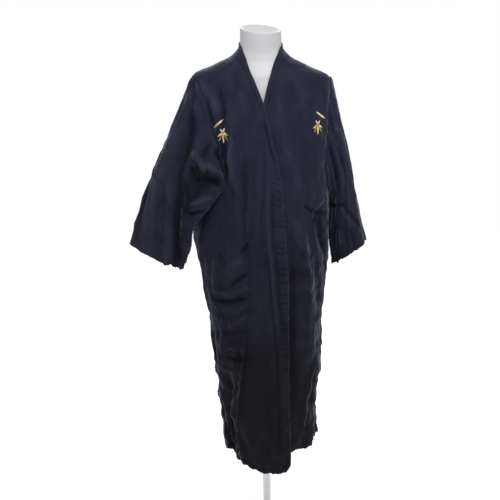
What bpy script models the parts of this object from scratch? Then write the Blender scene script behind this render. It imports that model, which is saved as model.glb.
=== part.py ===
"""A wrap-over kimono robe worn by a limbless dress form on a round stand.

Metres, +Z up, the front facing -Y, the origin on the floor under the pole. Right and left are the
wearer's, so the right side is at -X. Every piece of cloth is a wall lofted over one worked-out surface,
and the seams between the pieces are curves on it, given by an angle from the front and a height.
"""

import math

import bmesh
import bpy
import numpy as np

# Driving dimensions
CLOTH = 0.002
BAND_CLOTH = 0.0026  # the band is folded double
SEAM_GAP = 0.00022  # each piece is set back this far from its seam
OVERLAP_LIFT = 0.0056  # the right front lies this far outside the left one
LIFT_TOP, LIFT_FADE = 1.480, 0.090  # heights over which it comes down to the shoulder
LIFT_SIDE, LIFT_SIDE_FADE = 58, 24  # and angles over which it comes down to the side
RIGHT, LEFT = -1, 1
WEARER_SIDE = {RIGHT: "right", LEFT: "left"}

HEM_LEVEL = 0.280
HEM_FADE = 0.22  # the uneven hem is even again this far above it
UNDERARM = 1.095
COLLAR_FOOT = 1.498
SHOULDER_LEAN = 0.026  # the right shoulder is a little higher
LEAN_FROM, LEAN_OVER = 0.950, 0.450
SIDE_RADIUS = 0.19  # the robe's radius at the side seam

# How finely the pieces are divided
PANEL_COLUMNS = 12
GORE_COLUMNS = {RIGHT: 7, LEFT: 5}
BAND_COLUMNS = 3
SLEEVE_RINGS = 14
SIDE_ROWS = 10  # rows that end on the side seam
PANEL_CUTS = (5, 10)  # rows above a panel's hem at which it goes on in the next node
SKIRT_LEVELS = np.linspace(0.280, 0.840, SIDE_ROWS)
WAIST_LEVELS = np.linspace(0.885, 1.100, 6)
CHEST_LEVELS = np.linspace(1.158, 1.335, 4)
BACK_LEVELS = (1.470, 1.430, 1.370, 1.290, 1.200)
ARMHOLE_SAMPLES = 400
SMOOTH_UNDER = math.radians(40)
V_STATIONS = np.linspace(0, 8, 10)
NAPE_STATIONS = np.linspace(8.6, 13, 9)

# The robe's inner surface, a row for each level section
SECTIONS = (
    # height, middle, half width, front depth, back depth, squareness
    (0.240, 0.0150, 0.1280, 0.119, 0.109, 2.15),
    (0.300, 0.0145, 0.1310, 0.120, 0.111, 2.15),
    (0.360, 0.0115, 0.1355, 0.121, 0.113, 2.18),
    (0.440, 0.0080, 0.1435, 0.123, 0.115, 2.20),
    (0.535, 0.0065, 0.1535, 0.125, 0.117, 2.25),
    (0.620, 0.0045, 0.1610, 0.127, 0.119, 2.30),
    (0.700, 0.0035, 0.1675, 0.129, 0.121, 2.30),
    (0.790, 0.0030, 0.1760, 0.131, 0.122, 2.33),
    (0.850, 0.0015, 0.1830, 0.132, 0.122, 2.35),
    (0.905, -0.0020, 0.1920, 0.133, 0.120, 2.35),
    (0.965, -0.0060, 0.1990, 0.133, 0.117, 2.35),
    (1.030, -0.0050, 0.1985, 0.132, 0.114, 2.35),
    (1.110, -0.0010, 0.1925, 0.131, 0.111, 2.35),
    (1.200, 0.000, 0.190, 0.128, 0.112, 2.30),
    (1.300, 0.000, 0.197, 0.119, 0.111, 2.30),
    (1.380, 0.000, 0.202, 0.104, 0.106, 2.20),
    (1.410, 0.000, 0.202, 0.096, 0.101, 2.15),
    (1.434, 0.000, 0.199, 0.088, 0.095, 2.10),
    (1.443, 0.000, 0.190, 0.085, 0.092, 2.10),
    (1.451, 0.000, 0.174, 0.082, 0.089, 2.10),
    (1.462, 0.000, 0.146, 0.077, 0.083, 2.05),
    (1.476, 0.000, 0.118, 0.071, 0.076, 2.00),
    (1.486, 0.000, 0.096, 0.067, 0.070, 2.00),
    (1.497, 0.000, 0.080, 0.064, 0.066, 2.00),
    (1.508, 0.000, 0.069, 0.062, 0.063, 2.00),
    (1.520, 0.000, 0.0620, 0.0610, 0.0612, 2.00),
    (1.550, 0.000, 0.0605, 0.0605, 0.0605, 2.00),
)

# Angles below are in degrees from the front towards the piece's own side, minus across the middle

# How high each half's hem hangs
HEM = {
    RIGHT: (
        # angle, height
        (-30, 0.285),
        (-25, 0.270),
        (-20, 0.259),
        (-7, 0.252),
        (8, 0.256),
        (24, 0.264),
        (38, 0.276),
        (52, 0.290),
        (66, 0.306),
        (90, 0.304),
        (180, 0.300),
    ),
    LEFT: (
        # angle, height
        (-30, 0.312),
        (27, 0.316),
        (52, 0.320),
        (90, 0.324),
        (140, 0.312),
        (180, 0.300),
    ),
}

# The front's edge, the band's seam and the gore's seam below the crossing
FRONT = {
    RIGHT: (
        # height, edge angle, band seam angle, gore seam angle
        (0.260, -27.0, -17.5, 50.0),
        (0.390, -28.0, -15.0, 43.0),
        (0.484, -27.5, -14.5, 36.0),
        (0.644, -28.0, -13.5, 26.0),
        (0.710, -28.0, -11.5, 23.0),
        (0.816, -28.5, -8.0, 19.5),
        (0.940, -29.0, -6.5, 14.5),
        (1.000, -28.5, -5.0, 13.0),
        (1.084, -25.0, -3.5, 13.0),
        (1.172, -21.5, -3.0, 12.0),
        (1.256, -15.0, -3.5, 9.5),
        (1.304, -10.0, -4.5, 4.5),
        (1.335, -6.6, -4.0, -3.0),
    ),
    LEFT: (
        # height, edge angle, band seam angle, gore seam angle
        (0.260, -26.0, -13.0, 26.0),
        (0.484, -27.0, -13.0, 25.0),
        (0.710, -27.5, -11.0, 22.0),
        (0.940, -27.0, -7.0, 15.0),
        (1.084, -23.0, -3.5, 13.0),
        (1.172, -17.5, -2.0, 12.0),
        (1.256, -10.0, -0.5, 9.5),
        (1.304, -4.5, 1.0, 7.0),
        (1.335, -1.3, 2.6, 3.6),
    ),
}

# The band from the crossing round to the middle of the back neck
NECK = {
    RIGHT: (
        # edge angle, edge height, seam angle, seam height
        (-4.6, 1.356, 0.0, 1.350),
        (-3.0, 1.368, 3.0, 1.361),
        (1.0, 1.388, 8.0, 1.381),
        (6.0, 1.408, 13.0, 1.401),
        (12.0, 1.431, 20.0, 1.426),
        (21.0, 1.455, 29.0, 1.451),
        (30.0, 1.478, 37.0, 1.468),
        (41.0, 1.498, 46.0, 1.480),
        (55.0, 1.514, 58.0, 1.488),
        (73.0, 1.526, 75.0, 1.492),
        (95.0, 1.532, 95.0, 1.494),
        (120.0, 1.536, 120.0, 1.496),
        (150.0, 1.539, 150.0, 1.498),
        (180.0, 1.540, 180.0, COLLAR_FOOT),
    ),
    LEFT: (
        # edge angle, edge height, seam angle, seam height
        (0.4, 1.355, 5.5, 1.350),
        (2.6, 1.368, 8.6, 1.361),
        (5.5, 1.388, 12.0, 1.381),
        (8.5, 1.408, 16.0, 1.401),
        (13.5, 1.432, 21.5, 1.426),
        (20.5, 1.458, 29.0, 1.451),
        (29.0, 1.480, 37.0, 1.468),
        (40.0, 1.498, 46.0, 1.480),
        (54.0, 1.514, 58.0, 1.488),
        (73.0, 1.526, 75.0, 1.492),
        (95.0, 1.532, 95.0, 1.494),
        (120.0, 1.536, 120.0, 1.496),
        (150.0, 1.539, 150.0, 1.498),
        (180.0, 1.540, 180.0, COLLAR_FOOT),
    ),
}

# The armhole seam, from the underarm up the front, over the shoulder and down the back
ARMHOLE = {
    RIGHT: (
        # angle, height
        (90, UNDERARM),
        (66, 1.100),
        (47, 1.112),
        (41, 1.135),
        (42, 1.170),
        (46, 1.215),
        (53, 1.272),
        (61, 1.335),
        (68, 1.388),
        (78, 1.426),
        (90, 1.4385),
        (100, 1.422),
        (109, 1.380),
        (116, 1.320),
        (120, 1.250),
        (122, 1.180),
        (120, 1.135),
        (112, 1.108),
        (90, UNDERARM),
    ),
    LEFT: (
        # angle, height
        (90, UNDERARM),
        (84, 1.102),
        (79, 1.116),
        (76, 1.140),
        (75, 1.175),
        (76, 1.220),
        (77, 1.272),
        (79, 1.335),
        (81, 1.388),
        (84, 1.426),
        (90, 1.4385),
        (100, 1.422),
        (110, 1.380),
        (118, 1.320),
        (122, 1.250),
        (124, 1.180),
        (122, 1.135),
        (114, 1.108),
        (90, UNDERARM),
    ),
}

# Each sleeve's hanging form, from the shoulder to the cuff: its outer edge, its fold under the arm, and
# how far its front and back layers stand off the line between them
SLEEVE = {
    RIGHT: (
        # share, outer x, y, z, fold x, y, z, front x, y, back x, y
        (0.00, -0.206, 0.000, 1.439, -0.108, -0.118, 1.135, -0.036, -0.030, -0.040, 0.120),
        (0.12, -0.222, 0.000, 1.402, -0.128, -0.134, 1.102, -0.034, -0.030, -0.042, 0.118),
        (0.25, -0.243, -0.002, 1.340, -0.149, -0.140, 1.080, -0.030, -0.028, -0.040, 0.108),
        (0.40, -0.272, -0.008, 1.264, -0.172, -0.139, 1.056, -0.026, -0.026, -0.030, 0.090),
        (0.55, -0.308, -0.016, 1.186, -0.195, -0.126, 1.026, -0.022, -0.026, -0.014, 0.070),
        (0.70, -0.342, -0.024, 1.104, -0.211, -0.109, 0.988, -0.018, -0.027, 0.000, 0.054),
        (0.85, -0.370, -0.030, 1.026, -0.219, -0.095, 0.940, -0.014, -0.029, 0.008, 0.042),
        (1.00, -0.392, -0.036, 0.957, -0.243, -0.085, 0.886, -0.010, -0.032, 0.010, 0.034),
    ),
    LEFT: (
        # share, outer x, y, z, fold x, y, z, front x, y, back x, y
        (0.00, 0.206, 0.000, 1.433, 0.194, 0.030, 1.100, 0.010, -0.056, 0.004, 0.064),
        (0.12, 0.215, 0.000, 1.394, 0.196, 0.034, 1.086, 0.014, -0.060, 0.006, 0.064),
        (0.25, 0.226, 0.000, 1.335, 0.198, 0.040, 1.068, 0.016, -0.062, 0.008, 0.062),
        (0.40, 0.241, 0.001, 1.256, 0.199, 0.046, 1.044, 0.016, -0.060, 0.010, 0.060),
        (0.55, 0.255, 0.003, 1.176, 0.199, 0.051, 1.012, 0.013, -0.057, 0.012, 0.056),
        (0.70, 0.269, 0.005, 1.094, 0.199, 0.054, 0.972, 0.009, -0.053, 0.014, 0.052),
        (0.85, 0.285, 0.008, 1.014, 0.201, 0.056, 0.924, 0.004, -0.049, 0.014, 0.050),
        (1.00, 0.303, 0.010, 0.940, 0.208, 0.056, 0.866, 0.000, -0.046, 0.014, 0.048),
    ),
}
SLEEVE_FOLD = {
    # angle and height where the fold under the arm meets the armhole
    RIGHT: (41, 1.135),
    LEFT: (98, 1.098),
}
SLEEVE_SETTLE = 0.50  # a sleeve has left the armhole's shape after this share of its length
METRES_PER_DEGREE = 0.003  # on the cloth, to find the armhole's point nearest to the fold
SLEEVE_CLEARANCE = 0.0078  # from the body's inner surface to the inside of a sleeve that lies over it
SLEEVE_CLEAR_FROM = 0.30  # all round the sleeve from this share on, and from the seam where it turns
LAYER_FULLNESS = 0.75  # below 1 the layers stand off more squarely near the edges
OVER_EDGE_AT = 0.15  # the share at which it is judged whether a sleeve turns back over the panel
OVER_EDGE_FROM, OVER_EDGE_RANGE = -0.48, 0.60  # cosines of the way it sets off in
SEAM_TURN = 0.0035  # the cloth runs this far into the armhole before it turns out
SEAM_RISE = (0.0010, 0.0042)  # and stands out this far, more where it turns back over the panel

# Largest folds of the body, as soft troughs (minus) and ridges, by plain angle from the front to +X
FOLDS = (
    # top angle, top height, bottom angle, bottom height, depth, half width
    (-21, 1.180, -18, 0.930, -0.0080, 0.014),
    (-30, 1.070, -33, 0.890, 0.0050, 0.018),
    (-44, 1.030, -31, 0.750, -0.0055, 0.015),
    (-62, 0.950, -70, 0.610, 0.0060, 0.022),
    (-50, 0.690, -58, 0.280, -0.0070, 0.018),
    (-72, 0.570, -68, 0.270, 0.0075, 0.016),
    (-88, 0.670, -84, 0.270, -0.0060, 0.018),
    (0, 0.610, 10, 0.280, 0.0040, 0.024),
    (43, 1.080, 50, 0.810, 0.0055, 0.020),
    (58, 1.060, 76, 1.010, -0.0050, 0.011),
    (60, 1.010, 72, 0.650, -0.0050, 0.022),
    (76, 0.670, 54, 0.310, 0.0060, 0.022),
    (92, 0.910, 88, 0.290, -0.0060, 0.024),
    (118, 1.070, 112, 0.280, 0.0075, 0.026),
    (138, 1.170, 134, 0.280, -0.0080, 0.024),
    (160, 1.250, 156, 0.280, 0.0070, 0.028),
    (-118, 1.080, -114, 0.280, 0.0070, 0.026),
    (-140, 1.160, -134, 0.280, -0.0080, 0.024),
    (-162, 1.230, -158, 0.280, 0.0060, 0.028),
)
FOLD_RADIUS = 0.15  # turns a fold's angles into a width
FOLD_RISE, FOLD_END, FOLD_FADE = 0.30, 1.25, 0.25  # shares of its length where a fold begins and ends

# The dress form and its stand
FORM = (
    # height, half width, front depth, back depth
    (0.815, 0.150, 0.104, 0.100),
    (0.840, 0.160, 0.112, 0.108),
    (0.910, 0.162, 0.114, 0.110),
    (0.980, 0.152, 0.108, 0.100),
    (1.060, 0.144, 0.104, 0.094),
    (1.150, 0.150, 0.112, 0.096),
    (1.230, 0.162, 0.114, 0.100),
    (1.300, 0.178, 0.110, 0.101),
    (1.360, 0.190, 0.101, 0.099),
    (1.400, 0.1935, 0.0928, 0.0948),
    (1.430, 0.1925, 0.0846, 0.0906),
    (1.441, 0.1845, 0.0820, 0.0887),
    (1.449, 0.1700, 0.0793, 0.0861),
    (1.460, 0.1440, 0.0748, 0.0808),
    (1.474, 0.1160, 0.0690, 0.0740),
    (1.484, 0.0945, 0.0655, 0.0685),
    (1.496, 0.0785, 0.0628, 0.0646),
    (1.508, 0.0672, 0.0604, 0.0612),
    (1.520, 0.0606, 0.0597, 0.0598),
    (1.550, 0.0595, 0.0594, 0.0594),
    (1.580, 0.0588, 0.0588, 0.0588),
)
FORM_COLUMNS = 36
FORM_LEVELS = np.concatenate(
    [np.linspace(0.815, 1.400, 12), np.linspace(1.421, 1.515, 14), np.linspace(1.525, 1.566, 3)]
)
FORM_SQUARENESS = 0.2  # below the shoulders, over a round neck
SHOULDER_TOP, SHOULDER_DEPTH = 1.450, 0.100
NECK_STRAIGHT = 1.520
NECK_TOP = 1.566
NECK_TILT_SIDE = math.radians(5.0)
NECK_TILT_FRONT = math.radians(8.0)
POLE_RADIUS = 0.0115
BASE_RADIUS = 0.185
BASE_HEIGHT = 0.012
SOCKET_RADIUS = 0.021
SOCKET_HEIGHT = 0.045
STAND_GAP = 0.0003  # between the pole and what it meets at either end
POLE_SIDES = 24
BASE_STEPS = 48
BEVEL = 0.003

NAVY = (0.020, 0.022, 0.045)
WHITE = (0.80, 0.80, 0.79)
STEEL = (0.55, 0.56, 0.57)


def ease(share):
    """Goes from 0 to 1 with no corner at either end."""
    share = np.clip(share, 0.0, 1.0)
    return share * share * (3 - 2 * share)


def along(places, values, at):
    """Reads a table's column at any place, on a smooth curve that never overshoots."""
    places, values = np.asarray(places, float), np.asarray(values, float)
    step = np.diff(places)
    rise = np.diff(values) / step
    same_way = rise[:-1] * rise[1:] > 0
    total = np.where(same_way, rise[:-1] + rise[1:], 1.0)
    slope = np.empty(len(places))
    slope[0], slope[-1] = rise[0], rise[-1]
    slope[1:-1] = np.where(same_way, 2 * rise[:-1] * rise[1:] / total, 0.0)
    at = np.clip(at, places[0], places[-1])
    i = np.clip(np.searchsorted(places, at) - 1, 0, len(step) - 1)
    u = (at - places[i]) / step[i]
    from_values = values[i] * (1 + 2 * u) * (1 - u) ** 2 + values[i + 1] * u * u * (3 - 2 * u)
    return from_values + step[i] * (slope[i] * u * (1 - u) ** 2 + slope[i + 1] * u * u * (u - 1))


def columns(table):
    return [np.array(column, float) for column in zip(*table)]


def read(table, at):
    """All the other columns of a table, read where its first column is at."""
    first, *others = columns(table)
    return [along(first, column, at) for column in others]


def folds(angle, height):
    """How far the cloth stands out at its folds."""
    out = np.zeros(np.broadcast(angle, height).shape)
    for top_angle, top, bottom_angle, bottom, depth, width in FOLDS:
        start = np.array((math.radians(top_angle) * FOLD_RADIUS, top))
        way = np.array((math.radians(bottom_angle) * FOLD_RADIUS, bottom)) - start
        length = np.hypot(*way)
        way /= length
        turn = (angle - math.radians(top_angle) + math.pi) % (2 * math.pi) - math.pi
        across, down = turn * FOLD_RADIUS, height - top
        share = (across * way[0] + down * way[1]) / length
        aside = across * way[1] - down * way[0]
        ends = ease(share / FOLD_RISE) * ease((FOLD_END - share) / FOLD_FADE)
        out = out + depth * ends * np.exp(-((aside / width) ** 2))
    return out


def ring_radius(angle, height):
    """The surface's distance from its section's middle, and that middle."""
    middle, half, front, back, square = read(SECTIONS, height)
    side, ahead = np.sin(angle), np.cos(angle)
    depth = np.where(ahead > 0, front, back)
    radius = (np.abs(side / half) ** square + np.abs(ahead / depth) ** square) ** (-1 / square)
    return radius + folds(angle, height), middle


def lean(height):
    """How much lower each height lies for each metre towards the left."""
    return SHOULDER_LEAN * ease((height - LEAN_FROM) / LEAN_OVER)


def bare_surface(angle, height):
    radius, middle = ring_radius(angle, height)
    x = middle + radius * np.sin(angle)
    return np.stack([x, -radius * np.cos(angle), height - lean(height) * x], -1)


def outward(angle, height):
    """The surface's direction out, worked out from its slopes."""
    turn, rise = 0.002, 0.0005
    round_it = bare_surface(angle + turn, height) - bare_surface(angle - turn, height)
    up_it = bare_surface(angle, height + rise) - bare_surface(angle, height - rise)
    out = np.cross(round_it, up_it)
    return out / np.linalg.norm(out, axis=-1, keepdims=True)


def surface(angle, height, out):
    angle, height = np.broadcast_arrays(np.asarray(angle, float), np.asarray(height, float))
    out = np.broadcast_to(out, angle.shape)
    return bare_surface(angle, height) + outward(angle, height) * out[..., None]


def hang(side, degrees, level):
    """The height at a level, which near the hem follows the uneven hem."""
    hem = read(HEM[side], degrees)[0]
    return level + (hem - HEM_LEVEL) * (1 - ease((level - HEM_LEVEL) / HEM_FADE))


def lift(side, degrees, level):
    """How far the overlapping right front lies outside the left one."""
    if side == LEFT:
        return np.zeros(np.broadcast(degrees, level).shape)
    in_front = ease((LIFT_SIDE - degrees) / LIFT_SIDE_FADE)
    return OVERLAP_LIFT * in_front * ease((LIFT_TOP - level) / LIFT_FADE)


def on_side(side, degrees, level, out):
    """A point of one half of the robe, by its own side's angle and its level."""
    height = hang(side, degrees, level)
    return surface(side * np.radians(degrees), height, out + lift(side, degrees, level))


def set_back(points, ends=(True, True)):
    """Moves the first and last point of each row in from their seams."""
    points = points.copy()
    for end, inner, used in ((0, 1, ends[0]), (-1, -2, ends[1])):
        if used:
            way = points[:, inner] - points[:, end]
            way /= np.linalg.norm(way, axis=-1, keepdims=True)
            points[:, end] += way * SEAM_GAP
    return points


def set_back_rows(points, ends):
    """The same for the first and last row."""
    return set_back(points.transpose(1, 0, 2), ends).transpose(1, 0, 2)


def patch(side, inner_seam, outer_seam, count, thick):
    """Inside and outside points of a piece whose rows run from one seam to the other."""
    share = np.linspace(0, 1, count + 1)
    degrees = inner_seam[:, :1] * (1 - share) + outer_seam[:, :1] * share
    level = inner_seam[:, 1:] * (1 - share) + outer_seam[:, 1:] * share
    return [set_back(on_side(side, degrees, level, out)) for out in (0.0, thick)]


def low_levels():
    """Heights of the rows on the front seams, from the hem to the top of the gores."""
    return np.concatenate([SKIRT_LEVELS, WAIST_LEVELS, CHEST_LEVELS])


def gore_seam(side):
    levels = low_levels()
    return np.stack([read(FRONT[side], levels)[2], levels], 1)


def band_seam_low(side):
    levels = low_levels()
    return np.stack([read(FRONT[side], levels)[1], levels], 1)


def neck_stations(side):
    """Edge and seam points of the band along the neck, evenly between the table's rows."""
    edge_angle, edge_height, seam_angle, seam_height = columns(NECK[side])
    rows = np.arange(len(edge_angle))
    at = np.concatenate([V_STATIONS, NAPE_STATIONS])
    edge = np.stack([along(rows, edge_angle, at), along(rows, edge_height, at)], 1)
    seam = np.stack([along(rows, seam_angle, at), along(rows, seam_height, at)], 1)
    return edge, seam


def back_seam():
    """The centre back seam, from the neck to the hem."""
    levels = np.concatenate([BACK_LEVELS, WAIST_LEVELS[::-1], SKIRT_LEVELS[::-1]])
    return np.stack([np.full(len(levels), 180.0), levels], 1)


def armhole_counts(side):
    """How many rows of a body panel end on the armhole, before its top and in all."""
    seam = neck_stations(side)[1]
    to_shoulder = len(low_levels()) + int(np.argmin(np.abs(seam[:, 0] - 90)))
    rows = len(low_levels()) + len(seam) + len(back_seam())
    return to_shoulder - SIDE_ROWS, rows - 2 * SIDE_ROWS


def armhole(side):
    """The armhole seam's points, evenly spaced on the cloth, from the underarm round to it."""
    angle, height = columns(ARMHOLE[side])
    rows = np.arange(len(angle))
    fine = np.linspace(0, rows[-1], ARMHOLE_SAMPLES)
    angles, heights = along(rows, angle, fine), along(rows, height, fine)
    points = on_side(side, angles, heights, 0.0)
    run = np.concatenate([[0], np.cumsum(np.linalg.norm(np.diff(points, axis=0), axis=1))])
    top = run[int(np.argmax(heights))]
    before_top, count = armhole_counts(side)
    at = np.concatenate(
        [np.linspace(0, top, before_top + 1), np.linspace(top, run[-1], count - before_top)[1:]]
    )
    return np.stack([np.interp(at, run, angles), np.interp(at, run, heights)], 1)


def body_panel(side):
    """One width of cloth from the front hem, over the shoulder, to the back hem, in six lengths."""
    side_levels = np.linspace(HEM_LEVEL, UNDERARM, SIDE_ROWS + 1)[:-1]
    side_seam = np.stack([np.full(SIDE_ROWS, 90.0), side_levels], 1)
    loop = armhole(side)
    split = (math.degrees(SEAM_GAP / SIDE_RADIUS), 0)  # half the side seam's gap, as an angle
    loop[0] -= split
    loop[-1] += split
    inner = np.concatenate([gore_seam(side), neck_stations(side)[1], back_seam()])
    outer = np.concatenate([side_seam - split, loop, side_seam[::-1] + split])
    walls = patch(side, inner, outer, PANEL_COLUMNS, CLOTH)
    shoulder = SIDE_ROWS + armhole_counts(side)[0]
    last = len(inner) - 1
    low, high = PANEL_CUTS
    lengths = {
        "front_skirt": (0, low),
        "front_hip": (low, high),
        "front_chest": (high, shoulder),
        "back_shoulder": (shoulder, last - high),
        "back_hip": (last - high, last - low),
        "back_skirt": (last - low, last),
    }
    return {
        place: [set_back_rows(wall[start : end + 1], (start > 0, end < last)) for wall in walls]
        for place, (start, end) in lengths.items()
    }


def gore(side):
    return patch(side, band_seam_low(side), gore_seam(side), GORE_COLUMNS[side], CLOTH)


def band():
    """The band, from the right hem round the neck to the left hem."""
    inside, outside = [], []
    for side in (RIGHT, LEFT):
        levels = low_levels()
        edge_low = np.stack([read(FRONT[side], levels)[0], levels], 1)
        edge_neck, seam_neck = neck_stations(side)
        edge = np.concatenate([edge_low, edge_neck])
        seam = np.concatenate([band_seam_low(side), seam_neck])
        walls = patch(side, edge, seam, BAND_COLUMNS, BAND_CLOTH)
        inside.append(walls[0])
        outside.append(walls[1])
    return [np.concatenate([w[0], w[1][::-1][1:]]) for w in (inside, outside)]


def clear_of_body(side, points, room):
    """Pushes a sleeve's points out until they have room over the body's cloth."""
    x, y, z = points[..., 0], points[..., 1], points[..., 2]
    height = z + lean(z) * x
    middle = read(SECTIONS, height)[0]
    angle = np.arctan2(x - middle, -y)
    radius, middle = ring_radius(angle, height)
    raised = lift(side, np.degrees(angle) * side, height)
    need = radius + (raised + SLEEVE_CLEARANCE) * room
    have = np.hypot(x - middle, y)
    grow = np.maximum(need / have, 1.0)
    return np.stack([middle + (x - middle) * grow, y * grow, z], -1)


def sleeve_turns(side, loop, points):
    """Each loop point's place round a hanging sleeve, 0 at its outer edge and half a turn at its fold."""
    count = len(loop)
    fold_angle, fold_height = SLEEVE_FOLD[side]
    top = int(np.argmax(points[:, 2]))
    fold = int(np.argmin(np.hypot((loop[:, 0] - fold_angle) * METRES_PER_DEGREE, loop[:, 1] - fold_height)))
    steps = np.linalg.norm(np.roll(points, -1, axis=0) - points, axis=1)
    turn = np.zeros(count)
    for start, end, first, last in ((fold, top, math.pi, 0.0), (top, fold, 0.0, -math.pi)):
        index = np.arange(start, start + (end - start) % count + 1) % count
        run = np.concatenate([[0], np.cumsum(steps[index[:-1]])])
        turn[index] = first + (last - first) * run / run[-1]
    return turn


def hanging_ring(side, share, turn):
    """A level of the hanging sleeve: an oval from its outer edge to its fold."""
    row = [float(value) for value in read(SLEEVE[side], share)]
    outer, fold = np.array(row[0:3]), np.array(row[3:6])
    front, back = np.array((*row[6:8], 0.0)), np.array((*row[8:10], 0.0))
    layer = np.where(turn[:, None] > 0, front, back)
    middle, half = (outer + fold) / 2, (outer - fold) / 2
    full = np.abs(np.sin(turn)) ** LAYER_FULLNESS
    return middle + np.outer(np.cos(turn), half) + layer * full[:, None]


def sleeve(side):
    """The inside and outside points of one sleeve, from the armhole to the cuff."""
    loop = armhole(side)[:-1]
    seat = on_side(side, loop[:, 0], loop[:, 1], 0.0)
    seat_outer = on_side(side, loop[:, 0], loop[:, 1], CLOTH)
    turn = sleeve_turns(side, loop, seat)
    normal = (seat_outer - seat) / CLOTH
    inward = seat.mean(axis=0) - seat
    inward -= normal * np.sum(inward * normal, axis=-1, keepdims=True)
    inward /= np.linalg.norm(inward, axis=-1, keepdims=True)
    onward = hanging_ring(side, OVER_EDGE_AT, turn) - seat
    over = -np.sum(onward * inward, axis=-1) / np.linalg.norm(onward, axis=-1)
    turned = ease((over - OVER_EDGE_FROM) / OVER_EDGE_RANGE)
    rise = SEAM_RISE[0] + (SEAM_RISE[1] - SEAM_RISE[0]) * turned
    start = seat + normal * rise[:, None] + inward * SEAM_TURN
    rings = [seat + inward * 2 * SEAM_GAP, start]
    for share in np.linspace(0, 1, SLEEVE_RINGS)[1:]:
        left = ease(share / SLEEVE_SETTLE)
        points = start * (1 - left) + hanging_ring(side, share, turn) * left
        room = np.maximum(turned, ease(share / SLEEVE_CLEAR_FROM))
        rings.append(clear_of_body(side, points, room))
    inner = np.array(rings)
    round_it = np.roll(inner, -1, axis=1) - np.roll(inner, 1, axis=1)
    out = np.cross(np.gradient(inner, axis=0), round_it) * side
    out /= np.linalg.norm(out, axis=-1, keepdims=True)
    outer = inner + out * CLOTH
    outer[0] = seat_outer + inward * 2 * SEAM_GAP
    return inner, outer


def wall_object(name, inside, outside, tube, material, collection):
    """A closed wall between two nets of points. A tube's columns close round it."""
    rows, cols = inside.shape[:2]
    mesh = bmesh.new()
    nets = [[[mesh.verts.new(p) for p in row] for row in net] for net in (inside, outside)]
    for i in range(rows - 1):
        for j in range(cols if tube else cols - 1):
            k = (j + 1) % cols
            for net in nets:
                mesh.faces.new((net[i][j], net[i][k], net[i + 1][k], net[i + 1][j]))
    for i in (0, rows - 1):
        for j in range(cols if tube else cols - 1):
            k = (j + 1) % cols
            mesh.faces.new((nets[0][i][j], nets[0][i][k], nets[1][i][k], nets[1][i][j]))
    if not tube:
        for j in (0, cols - 1):
            for i in range(rows - 1):
                mesh.faces.new((nets[0][i][j], nets[0][i + 1][j], nets[1][i + 1][j], nets[1][i][j]))
    bmesh.ops.recalc_face_normals(mesh, faces=mesh.faces)
    bmesh.ops.triangulate(mesh, faces=mesh.faces)
    if mesh.calc_volume(signed=True) < 0:
        bmesh.ops.reverse_faces(mesh, faces=mesh.faces)
    return finished(name, mesh, material, collection)


def finished(name, mesh, material, collection):
    data = bpy.data.meshes.new(name)
    mesh.to_mesh(data)
    mesh.free()
    data.materials.append(material)
    data.shade_smooth()
    data.set_sharp_from_angle(angle=SMOOTH_UNDER)
    made = bpy.data.objects.new(name, data)
    collection.objects.link(made)
    return made


def dress_form(material, collection):
    """The torso and neck, a closed loft whose neck is cut on a slant."""
    angles = np.linspace(0, 2 * math.pi, FORM_COLUMNS, endpoint=False)
    mesh = bmesh.new()
    rings = []
    for level in FORM_LEVELS:
        half, front, back = read(FORM, level)
        side, ahead = np.sin(angles), np.cos(angles)
        depth = np.where(ahead > 0, front, back)
        square = 2 + FORM_SQUARENESS * ease((SHOULDER_TOP - level) / SHOULDER_DEPTH)
        radius = (np.abs(side / half) ** square + np.abs(ahead / depth) ** square) ** (-1 / square)
        x, y = radius * side, -radius * ahead
        slant = ease((level - NECK_STRAIGHT) / (NECK_TOP - NECK_STRAIGHT))
        tilt = -math.tan(NECK_TILT_SIDE) * x + math.tan(NECK_TILT_FRONT) * y
        z = level - lean(level) * x * (1 - slant) + slant * tilt
        rings.append([mesh.verts.new(p) for p in zip(x, y, z)])
    for below, above in zip(rings, rings[1:]):
        for j in range(FORM_COLUMNS):
            k = (j + 1) % FORM_COLUMNS
            mesh.faces.new((below[j], below[k], above[k], above[j]))
    mesh.faces.new(rings[0][::-1])
    mesh.faces.new(rings[-1])
    bmesh.ops.recalc_face_normals(mesh, faces=mesh.faces)
    bmesh.ops.triangulate(mesh, faces=mesh.faces)
    return finished("dress_form", mesh, material, collection)


def cylinder(name, radius, bottom, top, sides, material, collection):
    mesh = bmesh.new()
    bmesh.ops.create_cone(
        mesh, cap_ends=True, segments=sides, radius1=radius, radius2=radius, depth=top - bottom
    )
    made = finished(name, mesh, material, collection)
    made.location.z = (top + bottom) / 2
    return made


def stand_base(material, collection):
    """A round plate with a socket for the pole, turned from one profile."""
    profile = (
        (0.0, SOCKET_HEIGHT),
        (SOCKET_RADIUS - BEVEL, SOCKET_HEIGHT),
        (SOCKET_RADIUS, SOCKET_HEIGHT - BEVEL),
        (SOCKET_RADIUS, BASE_HEIGHT + BEVEL),
        (SOCKET_RADIUS + BEVEL, BASE_HEIGHT),
        (BASE_RADIUS - 2 * BEVEL, BASE_HEIGHT),
        (BASE_RADIUS - BEVEL / 2, BASE_HEIGHT - BEVEL),
        (BASE_RADIUS, BASE_HEIGHT - 2 * BEVEL),
        (BASE_RADIUS, 0.0),
        (0.0, 0.0),
    )
    mesh = bmesh.new()
    points = [mesh.verts.new((x, 0, z)) for x, z in profile]
    for start, end in zip(points, points[1:]):
        mesh.edges.new((start, end))
    made = finished("stand_base", mesh, material, collection)
    turned = made.modifiers.new("turned", "SCREW")
    turned.steps = turned.render_steps = BASE_STEPS
    turned.use_merge_vertices = True
    turned.merge_threshold = 0.00001
    turned.use_smooth_shade = True
    return made


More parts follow.
